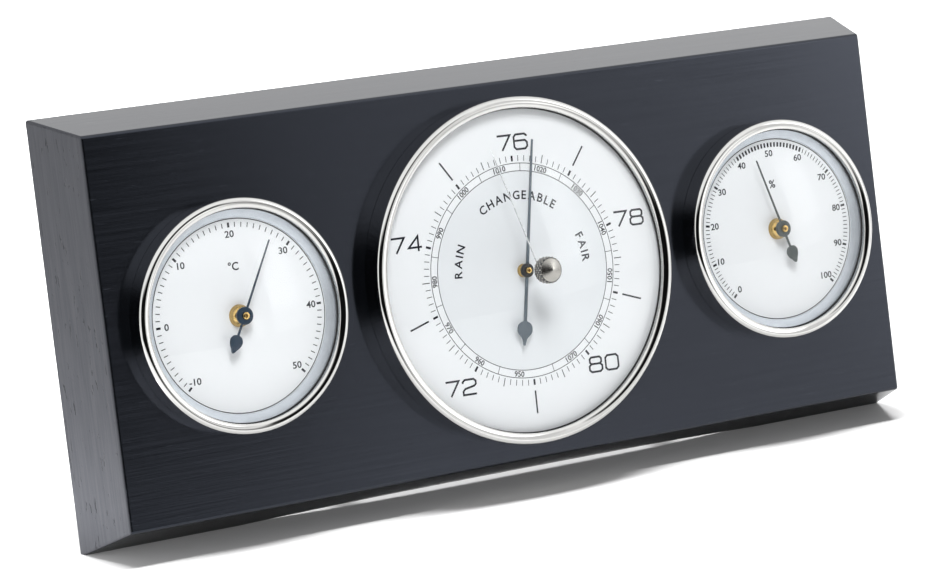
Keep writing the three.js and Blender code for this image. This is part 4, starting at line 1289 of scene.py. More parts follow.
@dataclass
class Gauge:
    """Bezel, glass, dial, pointer and case that all three gauges have."""

    shop: Workshop
    name: str
    x: float
    bezel_radius: float
    proud: float
    lip_radius: float
    seat_radius: float
    dome_radius: float
    glass_under: float
    rise: float
    hole_radius: float
    dial_top: float
    dial_under: float
    case_radius: float
    rest_deg: float
    bush_radius: float
    bush_rise: float
    cap_radius: float
    pointer: PointerForm
    hand_finish: str
    hub_finish: str | None = None
    case_back: float = -19.9
    case_wall: float = 0.8
    tube_radius: float = 1.6
    arbor_radius: float = 0.6
    arbor_drop: float = 10.0
    cap_height: float = 0.8
    blade_lift: float = 0.9
    blade_thickness: float = 0.4
    hub_rim: float = 0.3
    print_height: float = 0.03
    glass_thickness: float = 1.0
    bezel_wall: float = 1.0
    bead_width: float = 1.3
    bead_height: float = 1.0
    bead_drop: float = 0.6
    bead_steps: int = 18
    lip_thickness: float = 1.9
    # how far the black ring of painted shade shows inside the lip
    seal_shows: float = 0.3
    gap: float = 0.3

    def piece(
        self, name: str, shell: Shell, finish: str, *parts: str, body: str = BLOCK,
        slot: str | None = None,
    ) -> None:
        """Makes one of this gauge's pieces, which stands for the named CAD parts."""
        nodes = [f"{self.name}_{part}" for part in parts]
        self.shop.piece(f"{self.name}_{name}", shell, finish, nodes, body, slot, self.x)

    def build(self) -> None:
        """Makes what all three gauges have."""
        self._bezel()
        self._seal()
        self._glass()
        self._dial()
        self._bush()
        self._pointer()
        self._case()

    def _bezel(self) -> None:
        """Ring whose front is a bead, rounder on the outside than towards the glass."""
        r, p, lip = self.bezel_radius, self.proud, self.lip_radius
        crown = r - self.bead_width
        steps = self.bead_steps
        quarter = [math.pi / 2.0 * k / steps for k in range(steps + 1)]
        outside = [
            (crown + self.bead_width * math.cos(t), p - self.bead_height * (1.0 - math.sin(t)))
            for t in quarter
        ]
        inside = [
            (crown - (crown - lip) * math.sin(t), p - self.bead_drop * (1.0 - math.cos(t)))
            for t in quarter[1:]
        ]
        foot, wall = p - self.lip_thickness, r - self.bezel_wall
        outline = [
            (wall, 0.0), (r - 0.12, 0.0), (r, 0.12), *outside, *inside,
            (lip, foot + 0.1), (lip + 0.1, foot), (wall, foot),
        ]
        ring = turned(outline, FINE_STEPS)
        self.piece("steel_ring", ring, f"polished_steel_{self.name}", "bezel")

    def _seal(self) -> None:
        """Thin black ring between the glass and the lip, just showing inside the lip as painted
        shade of the gap there.
        """
        low = self.glass_under + self.glass_thickness + 0.07
        high = self.proud - self.lip_thickness - 0.02
        inner, outer = self.lip_radius - self.seal_shows, self.seat_radius - 0.2
        shell = turned(eased(rect(inner, low, outer, high), 0.06, 2))
        self.piece("rubber_seal", shell, "black_rubber")

    def _glass(self) -> None:
        """Domed glass with a flat edge under the lip."""
        rings = 28
        under = []
        for k in range(rings + 1):
            radius = self.hole_radius + (self.dome_radius - self.hole_radius) * k / rings
            height = self.rise * (1.0 - (radius / self.dome_radius) ** 2)
            under.append((radius, self.glass_under + height))
        under.append((self.seat_radius, self.glass_under))
        over = [(radius, height + self.glass_thickness) for radius, height in reversed(under)]
        self.piece("domed_glass", turned([*under, *over], GLASS_STEPS), "clear_glass", "glass")

    def _dial(self) -> None:
        """Dial plate with a hole for its bush."""
        bore = self.tube_radius + self.gap
        outline = eased(rect(bore, self.dial_under, self.seat_radius, self.dial_top), 0.12, 3)
        self.piece("dial_plate", turned(outline), f"silvered_white_{self.name}", "dial")

    def _bush(self) -> None:
        """Domed brass bush on the dial."""
        bore = self.arbor_radius + self.gap
        seat, flat = self.dial_top, bore + 0.4
        top = seat + 0.3 + self.bush_rise
        dome = [
            (flat + (self.bush_radius - flat) * math.cos(t), seat + (top - seat) * math.sin(t))
            for t in (math.radians(a) for a in range(0, 91, 9))
        ]
        rear, tube = self.dial_under - 0.3, self.tube_radius
        outline = [(bore, rear), (tube, rear), (tube, seat), *dome, (bore, top)]
        self.piece("brass_bush", turned(outline, HUB_STEPS), "brass", "bush")

    def _pointer(self) -> None:
        """Pointer with its hub, and the arbor with its brass cap."""
        low = self.dial_top + self.blade_lift + self.bush_rise
        high = low + self.blade_thickness
        bore, hub_top = self.arbor_radius + 0.15, high + self.hub_rim
        section = rect(bore, low - self.hub_rim, self.pointer.hub, hub_top)
        hub = turned(eased(section, 0.18), HUB_STEPS)
        blade = self.pointer.blade(low, high)
        body = f"{self.name}_hand"
        if self.hub_finish is None:
            blade.add(hub)
        else:
            self.piece("hand_hub", hub, self.hub_finish, body=body)
        blade = blade.turned_clockwise(self.rest_deg)
        self.piece("hand", blade, self.hand_finish, "pointer", body=body)
        self.piece("turned_arbor", self._arbor(hub_top), "brass", "arbor", body=body)

    def _arbor(self, hub_top: float) -> Shell:
        """Arbor from its rear pivot to a rounded cap with a centre mark."""
        rear, arbor, cap = self.dial_under - self.arbor_drop, self.arbor_radius, self.cap_radius
        foot, top = hub_top + 0.05, hub_top + self.cap_height
        return turned([
            (0.0, rear), (arbor - 0.2, rear), (arbor, rear + 0.2), (arbor, foot), (cap, foot),
            (cap, top - 0.3), (cap - 0.1, top - 0.1), (cap - 0.3, top),
            (0.5, top), (0.42, top - 0.1), (0.4, top - 0.7), (0.0, top - 0.7),
        ], ROD_STEPS)

    def _case(self) -> None:
        """Drawn cup with an out-turned rim, its holes drilled."""
        rim, wall = self.dial_under - self.gap, self.case_wall
        back, radius, seat = self.case_back, self.case_radius, self.seat_radius
        inner = radius - wall
        outline = eased([
            (0.0, back), (radius, back), (radius, rim - wall), (seat, rim - wall), (seat, rim),
            (inner, rim), (inner, back + wall), (0.0, back + wall),
        ], 0.7, 4)
        shell = carved(turned(outline, CASE_STEPS), [self._holes()])
        self.piece("drawn_case", shell, "zinc_steel", "case")

    def _holes(self) -> Shell:
        """Drills for the holes in the back of the case."""
        raise NotImplementedError

    def in_back(self, model: Shell, **circle: object) -> Shell:
        """Copies of a model on a circle in the back of the case.

        Args:
            model: What is copied, with its foot at the origin.
            **circle: Inputs of the circle's tree.

        Returns:
            The copies.
        """
        template = temporary(model, "template")
        metal = self.shop.finishes.materials["zinc_steel"]
        shell = self.shop.trees.make(Repeats.CIRCLE, template=template, finish=metal, **circle)
        discard(template)
        return shell.shifted(0.0, 0.0, self.case_back)

    def ring_line(self, radius: float, width: float) -> Shell:
        """Printed circle."""
        low, high = self.dial_top - PRINT_SUNK, self.dial_top + self.print_height
        return turned(rect(radius - width / 2, low, radius + width / 2, high), FINE_STEPS)

    def ticks(
        self, count: int, first: float, step: float, inner: float, outer: float, width: float,
        skip: int = 0, phase: int = 0,
    ) -> Shell:
        """Printed marks on a circle.

        Args:
            count: Number of marks before any are left out.
            first: Angle of the first, in degrees clockwise from the top.
            step: Angle from one to the next.
            inner: Radius where they start.
            outer: Radius where they end.
            width: Their width.
            skip: Every so many is left out; 0 keeps all.
            phase: How far the count of the left-out ones is shifted.

        Returns:
            The marks on the dial.
        """
        shell = self.shop.trees.make(
            Repeats.TICKS, count=count, first=math.radians(first), step=math.radians(step),
            inner=inner, outer=outer, width=width, thickness=self.print_height + PRINT_SUNK,
            skip=skip, phase=phase, finish=self.shop.finishes.materials["dial_ink"],
        )
        return shell.shifted(0.0, 0.0, self.dial_top + self.print_height / 2 - PRINT_SUNK / 2)

    def on_dial(self, shell: Shell, degrees: float, radius: float) -> Shell:
        """Print at a place on the dial, clockwise from the top."""
        angle = math.radians(degrees)
        x, y = radius * math.sin(angle), radius * math.cos(angle)
        return shell.shifted(x, y, self.dial_top + self.print_height / 2)


@dataclass
class SmallGauge(Gauge):
    """Thermometer or hygrometer: printed scale inside a satin reflector ring.

    Each run of marks is a count, the first value, the width, and every how many is left
    out from which phase. The tens have bold marks and numbers.
    """

    unit: str = ""
    unit_y: float = 14.0
    unit_height: float = 2.5
    low: int = 0
    high: int = 100
    middle: int = 50
    step_deg: float = 2.7
    runs: tuple[tuple[int, int, float, int, int], ...] = ()
    bold: float = 0.65
    vent_count: int = 6
    vent_circle: float = 17.0
    vent_radius: float = 1.6
    frame_radius: float = 27.7
    frame_width: float = 0.25
    tick_inner: float = 25.3
    tick_outer: float = 26.7
    number_radius: float = 23.4
    number_height: float = 2.0
    number_stretch: float = 1.1
    reflector_inner: float = 28.0
    reflector_rise: float = 1.18
    reflector_foot: float = 0.4

    def build(self) -> None:
        """Makes and dresses the gauge."""
        super().build()
        self._reflector()
        self._scale()

    def _holes(self) -> Shell:
        """Drills for the vents in the back of the case."""
        drill = turned(rect(0.0, -CUT_CLEAR, self.vent_radius, CUT_CLEAR), VENT_STEPS)
        step = FULL_TURN / self.vent_count
        return self.in_back(drill, count=self.vent_count, radius=self.vent_circle, step=step)

    def _reflector(self) -> None:
        """Satin ring that rises from the dial to the bezel's lip."""
        low, inner, seat = self.dial_top + 0.02, self.reflector_inner, self.seat_radius
        top = low + self.reflector_rise
        outline = eased([
            (inner, low), (seat, low), (seat, top), (self.lip_radius, top),
            (inner, low + self.reflector_foot),
        ], 0.12, 3)
        self.piece("reflector_ring", turned(outline), f"reflector_steel_{self.name}", "reflector")

    def _scale(self) -> None:
        """Prints the scale."""
        shell = self.ring_line(self.frame_radius, self.frame_width)
        tens = range(self.low, self.high + 1, 10)
        step, reach = self.step_deg, (self.tick_inner, self.tick_outer)
        for count, value, width, skip, phase in self.runs:
            shell.add(self.ticks(count, self._angle(value), step, *reach, width, skip, phase))
        shell.add(self.ticks(len(tens), self._angle(self.low), 10 * step, *reach, self.bold))
        stretch = Matrix.Diagonal((self.number_stretch, 1.0, 1.0, 1.0))
        for value in tens:
            number = lettering(str(value), self.number_height, self.print_height).moved(stretch)
            shell.add(self.on_dial(number, self._angle(value), self.number_radius))
        sign = lettering(self.unit, self.unit_height, self.print_height)
        shell.add(self.on_dial(sign, 0.0, self.unit_y))
        self.piece("printed_scale", shell, "dial_ink")

    def _angle(self, value: int) -> float:
        """Angle of a value on the scale, in degrees clockwise from the top."""
        return (value - self.middle) * self.step_deg


@dataclass
class Thermometer(SmallGauge):
    """Thermometer from -10 to 50 degrees, with a mark for each degree."""

    unit: str = "°C"
    unit_y: float = 14.2
    low: int = -10
    high: int = 50
    middle: int = 20
    step_deg: float = 4.5
    runs: tuple[tuple[int, int, float, int, int], ...] = ((61, -10, 0.25, 10, 0),)


@dataclass
class Hygrometer(SmallGauge):
    """Hygrometer from 0 to 100 percent, with a mark for each, bold from 40 to 60."""

    unit: str = "%"
    unit_y: float = 13.9
    runs: tuple[tuple[int, int, float, int, int], ...] = (
        (40, 0, 0.22, 10, 0), (40, 61, 0.22, 10, 1), (21, 40, 0.65, 0, 0),
    )


# Wide thin numerals of the barometer, drawn as lines in a square of side 1.
DIGITS: dict[str, tuple[Point, ...]] = {
    "0": (
        (0.16, 0.0), (0.84, 0.0), (1.0, 0.16), (1.0, 0.84), (0.84, 1.0), (0.16, 1.0),
        (0.0, 0.84), (0.0, 0.16), (0.16, 0.0),
    ),
    "2": (
        (0.0, 0.76), (0.0, 0.86), (0.16, 1.0), (0.84, 1.0), (1.0, 0.86), (1.0, 0.66),
        (0.86, 0.54), (0.16, 0.4), (0.0, 0.24), (0.0, 0.0), (1.0, 0.0),
    ),
    "4": ((0.74, 0.0), (0.74, 1.0), (0.0, 0.27), (1.0, 0.27)),
    "6": (
        (0.98, 0.82), (0.98, 0.88), (0.84, 1.0), (0.16, 1.0), (0.0, 0.84), (0.0, 0.16),
        (0.16, 0.0), (0.84, 0.0), (1.0, 0.16), (1.0, 0.42), (0.84, 0.57), (0.0, 0.57),
    ),
    "7": ((0.0, 1.0), (1.0, 1.0), (0.34, 0.0)),
    "8": (
        (0.16, 0.54), (0.0, 0.4), (0.0, 0.14), (0.16, 0.0), (0.84, 0.0), (1.0, 0.14),
        (1.0, 0.4), (0.84, 0.54), (0.16, 0.54), (0.05, 0.66), (0.05, 0.88), (0.18, 1.0),
        (0.82, 1.0), (0.95, 0.88), (0.95, 0.66), (0.84, 0.54),
    ),
}


@dataclass
class Barometer(Gauge):
    """Aneroid barometer with a hand set from the front by a knob."""

    set_deg: float = -12.5
    set_tip: float = 38.0
    set_foot: float = 1.1
    set_hub_low: float = 13.187
    set_hub_high: float = 14.087
    set_hub_radius: float = 1.9
    set_tip_low: float = 7.4
    set_half_height: float = 0.19
    set_widths: tuple[Point, ...] = ((0.0, 0.225), (0.9, 0.2), (0.985, 0.15), (1.0, 0.05))
    spindle_radius: float = 1.0
    spindle_seat: float = 2.0
    glass_bush_low: float = 14.387
    glass_bush_head: float = 16.287
    glass_bush_radius: float = 2.9
    glass_bush_tube: float = 2.0
    knob_low: float = 16.587
    knob_length: float = 4.0
    knob_radius: float = 3.9
    knob_cone: float = 0.7
    knob_fall: float = 0.35
    knurl_around: int = 18
    knurl_rows: int = 5
    knurl_height: float = 0.5
    screw_count: int = 3
    screw_first_deg: float = -135.0
    screw_step_deg: float = 90.0
    screw_circle: float = 23.4
    screw_radius: float = 2.4
    screw_shank: float = 1.5
    screw_reach: float = 4.9
    screw_spin_deg: float = 37.0
    pinion_leaves: int = 8
    pinion_radius: float = 1.6
    pinion_module: float = 0.4
    pinion_deg: float = -8.8
    gear_drop: float = 4.8
    band_inner: float = 29.5
    band_outer: float = 31.8
    mark_inner: float = 32.4
    mark_outer: float = 34.1
    mark_long: float = 34.9
    bar_inner: float = 35.8
    bar_outer: float = 42.6
    number_places: tuple[tuple[str, float, float], ...] = (
        ("72", -25.4, -31.8), ("74", -38.9, 11.9), ("76", 0.7, 38.0), ("78", 38.9, 11.4),
        ("80", 25.0, -30.8),
    )
    number_height: float = 4.4
    digit_width: float = 4.5
    digit_gap: float = 1.3
    digit_stroke: float = 0.6
    words: tuple[tuple[str, float], ...] = (("RAIN", -77.0), ("CHANGEABLE", 1.0), ("FAIR", 78.0))
    word_radius: float = 22.4
    word_height: float = 2.6
    word_gap: float = 0.75
    pressure_low: int = 950
    pressure_high: int = 1070
    pressure_step: int = 10
    pressure_top: float = 1013.25
    pressure_height: float = 1.7
    pressure_flip_deg: float = 95.0
    degrees_per_hpa: float = 2.7
    print_turn: float = 1.2

    def build(self) -> None:
        """Makes and dresses the barometer."""
        super().build()
        self._screws()
        self._scale()
        self._set_needle()
        self._set_spindle()
        self._knob()

    def _arbor(self, hub_top: float) -> Shell:
        """Arbor with the eight-leaved pinion that meets the sector."""
        outline = []
        pitch, module = self.pinion_radius, self.pinion_module
        step = FULL_TURN / self.pinion_leaves
        flank = ((pitch - 1.25 * module, 0.26), (pitch, 0.17), (pitch + 0.85 * module, 0.07))
        rising = [(radius, -share) for radius, share in flank]
        for k in range(self.pinion_leaves):
            middle = (k + 0.5) * step + math.radians(self.pinion_deg - self.rest_deg)
            for radius, share in (*rising, *reversed(flank)):
                angle = middle + share * step
                outline.append((radius * math.cos(angle), radius * math.sin(angle)))
        gear = self.dial_under - self.gear_drop
        return super()._arbor(hub_top).add(plate(outline, gear - 1.0, gear + 1.0))

    def _at_screws(self, model: Shell, spin_deg: float = 0.0) -> Shell:
        """Copies of a model at the screws' places."""
        return self.in_back(
            model, count=self.screw_count, radius=self.screw_circle,
            first=math.radians(self.screw_first_deg), step=math.radians(self.screw_step_deg),
            spin=math.radians(spin_deg),
        )

    def _holes(self) -> Shell:
        """Drills for the screw heads in the back of the case."""
        radius = self.screw_radius + self.gap
        return self._at_screws(turned(rect(0.0, -CUT_CLEAR, radius, CUT_CLEAR), ROD_STEPS))

    def _screws(self) -> None:
        """Slotted brass screws in the back of the case."""
        head, shank, reach = self.screw_radius, self.screw_shank, self.screw_reach
        screw = turned([
            (0.0, 0.0), (head - 0.25, 0.0), (head, 0.25), (head, 0.8), (shank, 0.8),
            (shank, reach - 0.3), (shank - 0.3, reach), (0.0, reach),
        ], ROD_STEPS)
        screw = carved(screw, [plate(rect(-4.0, -0.3, 4.0, 0.3), -0.5, 0.4)])
        self.piece(
            "slotted_screws", self._at_screws(screw, self.screw_spin_deg), "brass",
            "adjusting_screw", "base_screw_left", "base_screw_right",
        )

    def _scale(self) -> None:
        """Prints both scales and the weather words."""
        band, inner = (self.band_inner, self.band_outer), self.mark_inner
        every = self.pressure_step
        pressures = range(self.pressure_low, self.pressure_high + 1, every)
        between = self._angle(self.pressure_low + every / 2.0)
        shell = Shell()
        for radius in band:
            shell.add(self.ring_line(radius, 0.2))
        for run in (
            (100, 0.0, 3.6, inner, self.mark_outer, 0.2, 5),
            (20, 0.0, 18.0, inner, self.mark_long, 0.25, 2),
            (10, 0.0, 36.0, inner, self.mark_outer, 0.65),
            (5, -180.0, 72.0, self.bar_inner, self.bar_outer, 0.5),
            (len(pressures), between, every * self.degrees_per_hpa, *band, 0.16),
        ):
            shell.add(self.ticks(*run))
        for value in pressures:
            degrees = self._angle(value)
            flip = 180.0 if abs(degrees) > self.pressure_flip_deg else 0.0
            number = lettering(str(value), self.pressure_height, self.print_height)
            number = number.turned_clockwise(degrees + flip)
            shell.add(self.on_dial(number, degrees, sum(band) / 2.0))
        for text, x, y in self.number_places:
            shell.add(self._big_number(text, x, y))
        for word, degrees in self.words:
            shell.add(self._word(word, degrees))
        self.piece("printed_scale", shell.turned_clockwise(self.print_turn), "dial_ink")

    def _angle(self, pressure: float) -> float:
        """Angle of a pressure on the scale, in degrees clockwise from the top."""
        return (pressure - self.pressure_top) * self.degrees_per_hpa

    def _big_number(self, text: str, x: float, y: float) -> Shell:
        """Wide upright number in thin lines, centred on a place."""
        width, height = self.digit_width, self.number_height
        total = len(text) * width + (len(text) - 1) * self.digit_gap
        shell = Shell()
        low, high = self.dial_top - PRINT_SUNK, self.dial_top + self.print_height
        for k, character in enumerate(text):
            start = x - total / 2.0 + k * (width + self.digit_gap)
            foot = y - height / 2.0
            path = [(start + u * width, foot + v * height) for u, v in DIGITS[character]]
            shell.add(stroke(path, self.digit_stroke, low, high))
        return shell

    def _word(self, text: str, degrees: float) -> Shell:
        """Word set letter by letter along the circle."""
        letters = [lettering(c, self.word_height, self.print_height) for c in text]
        spans = [letter.span(0) for letter in letters]
        widths = [right - left for left, right in spans]
        shell = Shell()
        place = -(sum(widths) + self.word_gap * (len(widths) - 1)) / 2.0
        for letter, width in zip(letters, widths):
            turn = degrees + math.degrees((place + width / 2.0) / self.word_radius)
            shell.add(self.on_dial(letter.turned_clockwise(turn), turn, self.word_radius))
            place += width + self.word_gap
        return shell

    def _set_needle(self) -> None:
        """Thin needle that slopes from the spindle to just over the pointer."""
        middle = (self.set_hub_low + self.set_hub_high) / 2.0
        rings = []
        steps = 10
        for share, half in self.set_widths:
            y = self.set_foot + (self.set_tip - self.set_foot) * share
            z = middle + (self.set_tip_low + 0.2 - middle) * share
            angles = [FULL_TURN * k / steps for k in range(steps)]
            rings.append([
                Vector((half * math.cos(a), y, z + self.set_half_height * math.sin(a)))
                for a in angles
            ])
        bore = self.spindle_radius + 0.05
        section = rect(bore, self.set_hub_low, self.set_hub_radius, self.set_hub_high)
        shell = lofted(rings).add(turned(eased(section, 0.15), PEG_STEPS))
        shell = shell.turned_clockwise(self.set_deg)
        self.piece("set_needle", shell, "silver_needle", "set_hand", body=SETTING)

    def _set_spindle(self) -> None:
        """Spindle that carries the set hand, and its sleeve in the glass."""
        bore, tube, flange = self.spindle_radius + 0.1, self.glass_bush_tube, self.glass_bush_radius
        low, head = self.glass_bush_low, self.glass_bush_head
        apex = self.glass_under + self.rise + self.glass_thickness
        sleeve = turned([
            (bore, low), (tube, low), (tube, apex), (flange, apex - 0.02),
            (flange, head - 0.2), (flange - 0.2, head), (bore, head),
        ], PEG_STEPS)
        self.piece("glass_sleeve", sleeve, "brass", "glass_bush")
        top = self.knob_low + self.spindle_seat
        section = rect(0.0, self.set_hub_low, self.spindle_radius, top)
        spindle = turned(eased(section, 0.15), ROD_STEPS)
        self.piece("turned_spindle", spindle, "satin_steel", "set_spindle", body=SETTING)

    def _knob(self) -> None:
        """Knurled knob with a turned cone on its front, and a black sleeve of painted shade between
        its studs.
        """
        low, high = self.knob_low, self.knob_low + self.knob_length
        apex, rim = high + self.knob_cone - 0.02, high - self.knob_fall
        grip, bore = self.knob_radius - 0.3, self.spindle_radius + 0.05
        seat = low + self.spindle_seat + 0.05
        core = turned([
            (bore, low), (grip - 0.3, low), (grip - 0.05, low + 0.25), (grip - 0.05, rim - 0.2),
            (grip - 0.15, rim), (0.1, apex), (0.0, apex), (0.0, seat), (bore, seat),
        ], KNOB_STEPS)
        around, rows = self.knurl_around, self.knurl_rows
        studs = self.shop.trees.make(
            Repeats.KNURL, around=around, rows=rows, radius=grip - 0.02, start=low + 0.45,
            pitch=(rim - low - 1.0) / (rows - 1), width=2.6 * grip / around,
            height=self.knurl_height, finish=self.shop.finishes.materials["nickel"],
        )
        # Black sleeve under the studs: painted shade in the knurl's valleys.
        shade_sleeve = turned(rect(grip - 0.1, low + 0.3, grip + 0.17, rim - 0.3), KNOB_STEPS)
        self.piece("knurl_valleys", shade_sleeve, "hub_black", body=SETTING, slot="polished_steel")
        shell = core.add(studs).turned_clockwise(self.set_deg)
        self.piece("knurled_knob", shell, "nickel", "set_knob", body=SETTING)


# ---------------------------------------------------------------- works inside the cases


@dataclass
class Works:
    """Movements inside the cases: CAD nodes that keep their shape and get their metal."""

    metals: dict[str, str] = field(default_factory=lambda: {
        "thermometer_coil": "copper_bronze", "barometer_capsule": "copper_bronze",
        "barometer_sector_arbor": "satin_steel", "barometer_rocking_shaft": "satin_steel",
        "barometer_hairspring": "blued_steel",
    })
    brass: tuple[str, ...] = (
        "thermometer_bridge", "thermometer_coil_post", "hygrometer_bridge", "hygrometer_coil",
        "hygrometer_coil_post", "barometer_base_plate", "barometer_front_plate",
        "barometer_rear_plate", "barometer_short_pillar_left", "barometer_short_pillar_right",
        "barometer_long_pillar_lower", "barometer_long_pillar_upper", "barometer_rocker_post_left",
        "barometer_rocker_post_right", "barometer_sector_gear", "barometer_capsule_stem",
    )

    def dress(self, finishes: Finishes) -> None:
        """Gives each node its metal."""
        for name, metal in {**dict.fromkeys(self.brass, "brass"), **self.metals}.items():
            for slot in frame["nodes"][name].material_slots:
                slot.material = finishes.materials[metal]
            LOG.info("%s keeps its shape, in %s", name, metal)


# ---------------------------------------------------------------- studio


class Reach(Enum):
    """What a lamp lights."""

    ALL = "all"
    FLOOR = "floor"
    STATION = "station"


@dataclass(frozen=True)
class Lamp:
    """Soft area lamp aimed at the station."""

    name: str
    place: Triple
    size: Point
    power: float
    aim: Triple = (0.0, 0.0, 0.05)
    reach: Reach = Reach.ALL

    def build(self, floor: bpy.types.Object) -> None:
        """Hangs the lamp, for the floor, for everything else or for both.

        Args:
            floor: The floor.
        """
        light = bpy.data.lights.new(self.name, "AREA")
        light.shape = "RECTANGLE"
        light.size, light.size_y = self.size
        light.energy = self.power
        lamp = put(self.name, light)
        lamp.location = self.place
        toward = Vector(self.aim) - Vector(self.place)
        lamp.rotation_euler = toward.to_track_quat("-Z", "Y").to_euler()
        lamp.visible_glossy = lamp.visible_transmission = lamp.visible_camera = False
        if self.reach is not Reach.ALL:
            lit = bpy.data.collections.new(f"lit_by_{self.name}")
            lit.objects.link(floor)
            state = "INCLUDE" if self.reach is Reach.FLOOR else "EXCLUDE"
            lit.collection_objects[0].light_linking.link_state = state
            lamp.light_linking.receiver_collection = lit


@dataclass
class Studio:
    """Camera, lamps, white floor and surround."""

    camera_place: Triple = (-0.63027, -0.986235, 0.369199)
    camera_turn_deg: Triple = (74.953, -0.0153, -32.299)
    lens: float = 155.086
    sensor_width: float = 36.0
    clip_start: float = 0.05
    floor_size: float = 6.0
    floor_colour: Triple = (0.85, 0.85, 0.85)
    floor_rough: float = 0.6
    floor_lift: float = 0.06
    mirror_lift: float = 0.45
    lift_clear: Point = (0.15, 0.06)
    lift_soft: float = 0.08
    white: Triple = (1.0, 1.0, 1.0)
    ambient: float = 0.25
    mirror_level: float = 1.7
    dark_level: float = 0.008
    dark_heading_deg: Point = (-52.0, 27.3)
    dark_height_deg: Point = (-9.0, 22.0)
    dark_soft_deg: Point = (6.0, 14.0)
    dawn_deg: float = 30.2
    dawn_level: float = 1.5
    lull_deg: Point = (30.4, 33.4)
    lull_level: float = 1.15
    window_deg: Four = (36.3, 39.2, 47.0, 56.0)
    window_level: Point = (4.4, 1.8)
    sill_deg: Point = (4.5, 9.5)
    sill_share: float = 0.4
    glow_level: float = 0.85
    glow_heading_deg: Four = (16.0, 24.0, 29.0, 37.0)
    glow_height_deg: Four = (-6.0, -2.0, 4.4, 5.8)
    behind_deg: Point = (80.0, 112.0)
    behind_share: float = 0.74
    lamps: tuple[Lamp, ...] = (
        Lamp("ceiling", (0.0, 0.02, 1.4), (1.0, 0.22), 27.0, (0.0, 0.02, 0.0), Reach.FLOOR),
        Lamp("back", (-0.1, 1.2, 0.75), (0.6, 0.2), 26.0, reach=Reach.FLOOR),
        Lamp("key", (-0.38, -0.85, 1.4), (0.6, 0.6), 17.2, reach=Reach.STATION),
        Lamp("card", (-0.19, 0.0, 0.006), (0.1, 0.01), 0.065, (-0.14, 0.0, 0.006)),
    )

    def build(self) -> None:
        """Sets up the studio."""
        bpy.context.scene.view_settings.view_transform = "Standard"
        self._camera()
        self._world()
        floor = self._floor()
        for lamp in self.lamps:
            lamp.build(floor)

    def _camera(self) -> None:
        """Camera at the photograph's angle."""
        data = bpy.data.cameras.new("camera")
        data.lens = self.lens
        data.sensor_width = self.sensor_width
        data.clip_start = self.clip_start
        camera = put("camera", data)
        camera.location = self.camera_place
        camera.rotation_euler = [math.radians(a) for a in self.camera_turn_deg]
        bpy.context.scene.camera = camera

    def _world(self) -> None:
        """White surround that is dark in front, as metal and lacquer mirror it."""
        world = bpy.data.worlds.new("surround")
        world.use_nodes = True
        world.cycles.sampling_method = "NONE"
        world.node_tree.nodes.clear()
        bench = NodeBench(world.node_tree)
        parts = bench.parts(bench.add("ShaderNodeTexCoord").outputs["Generated"])
        heading = bench.math("ARCTAN2", parts[0], bench.math("MULTIPLY", parts[1], -1.0))
        height = bench.math("ARCSINE", parts[2])
        low, high = self.dark_height_deg
        below, above = self.dark_soft_deg
        band = self._within(bench, height, (low - below, low, high, high + above))
        level_round = self._round(bench, heading, height)
        mirror = bench.fit(band, low=self.mirror_level, high=level_round)
        away = bench.math("ABSOLUTE", heading)
        behind = self._ramp(bench, away, *self.behind_deg, 1.0, self.behind_share)
        mirror = bench.math("MULTIPLY", mirror, behind)
        path = bench.add("ShaderNodeLightPath").outputs
        bounced = bench.math("GREATER_THAN", path["Glossy Depth"], 0.5)
        through = path["Is Transmission Ray"]
        inward = bench.math("MULTIPLY", through, bounced)
        outward = bench.math("MULTIPLY", through, bench.math("SUBTRACT", 1.0, bounced))
        mirrored = bench.math("MAXIMUM", path["Is Glossy Ray"], inward)
        seen = bench.math("MAXIMUM", path["Is Camera Ray"], outward)
        matt = bench.math("SUBTRACT", 1.0, bench.math("MAXIMUM", mirrored, seen))
        level = bench.math("MULTIPLY_ADD", mirrored, mirror, seen)
        level = bench.math("MULTIPLY_ADD", matt, self.ambient, level)
        backdrop = bench.out("ShaderNodeBackground", {"Color": self.white, "Strength": level})
        bench.add("ShaderNodeOutputWorld", {"Surface": backdrop})
        bpy.context.scene.world = world

    @staticmethod
    def _ramp(
        bench: NodeBench, angle: Socket, start: float, end: float, low: float, high: float
    ) -> Socket:
        """Value that goes from low to high between two angles in degrees."""
        start, end = math.radians(start), math.radians(end)
        return bench.fit(angle, start, end, low, high, interpolation_type="SMOOTHSTEP")

    def _within(self, bench: NodeBench, angle: Socket, edges: Four) -> Socket:
        """One between the two middle edges, falling softly to nothing at the outer ones."""
        start, full, fading, end = edges
        rising = self._ramp(bench, angle, start, full, 0.0, 1.0)
        return bench.math("MULTIPLY", rising, self._ramp(bench, angle, fading, end, 1.0, 0.0))

    def _round(self, bench: NodeBench, heading: Socket, height: Socket) -> Socket:
        """Level round the horizon: dark in front, lighter to the right, with a window there."""
        left, right = self.dark_heading_deg
        open_, full, fading, shut = self.window_deg
        bright, beyond = self.window_level
        soft = left - self.dark_soft_deg[0]
        dusk = self._ramp(bench, heading, soft, left, self.mirror_level, self.dark_level)
        dawn = self._ramp(bench, heading, right, self.dawn_deg, 0.0, self.dawn_level)
        lull = self._ramp(bench, heading, *self.lull_deg, 0.0, self.lull_level - self.dawn_level)
        dawn = bench.math("ADD", dawn, lull)
        window = self._ramp(bench, heading, open_, full, 0.0, bright - self.lull_level)
        fall = self._ramp(bench, heading, fading, shut, 0.0, beyond - bright)
        sill = self._ramp(bench, height, *self.sill_deg, self.sill_share, 1.0)
        window = bench.math("MULTIPLY", bench.math("ADD", window, fall), sill)
        glow = bench.math(
            "MULTIPLY", self._within(bench, heading, self.glow_heading_deg),
            self._within(bench, height, self.glow_height_deg),
        )
        dusk = bench.math("MULTIPLY_ADD", glow, self.glow_level, dusk)
        return bench.math("ADD", bench.math("ADD", dusk, dawn), window)

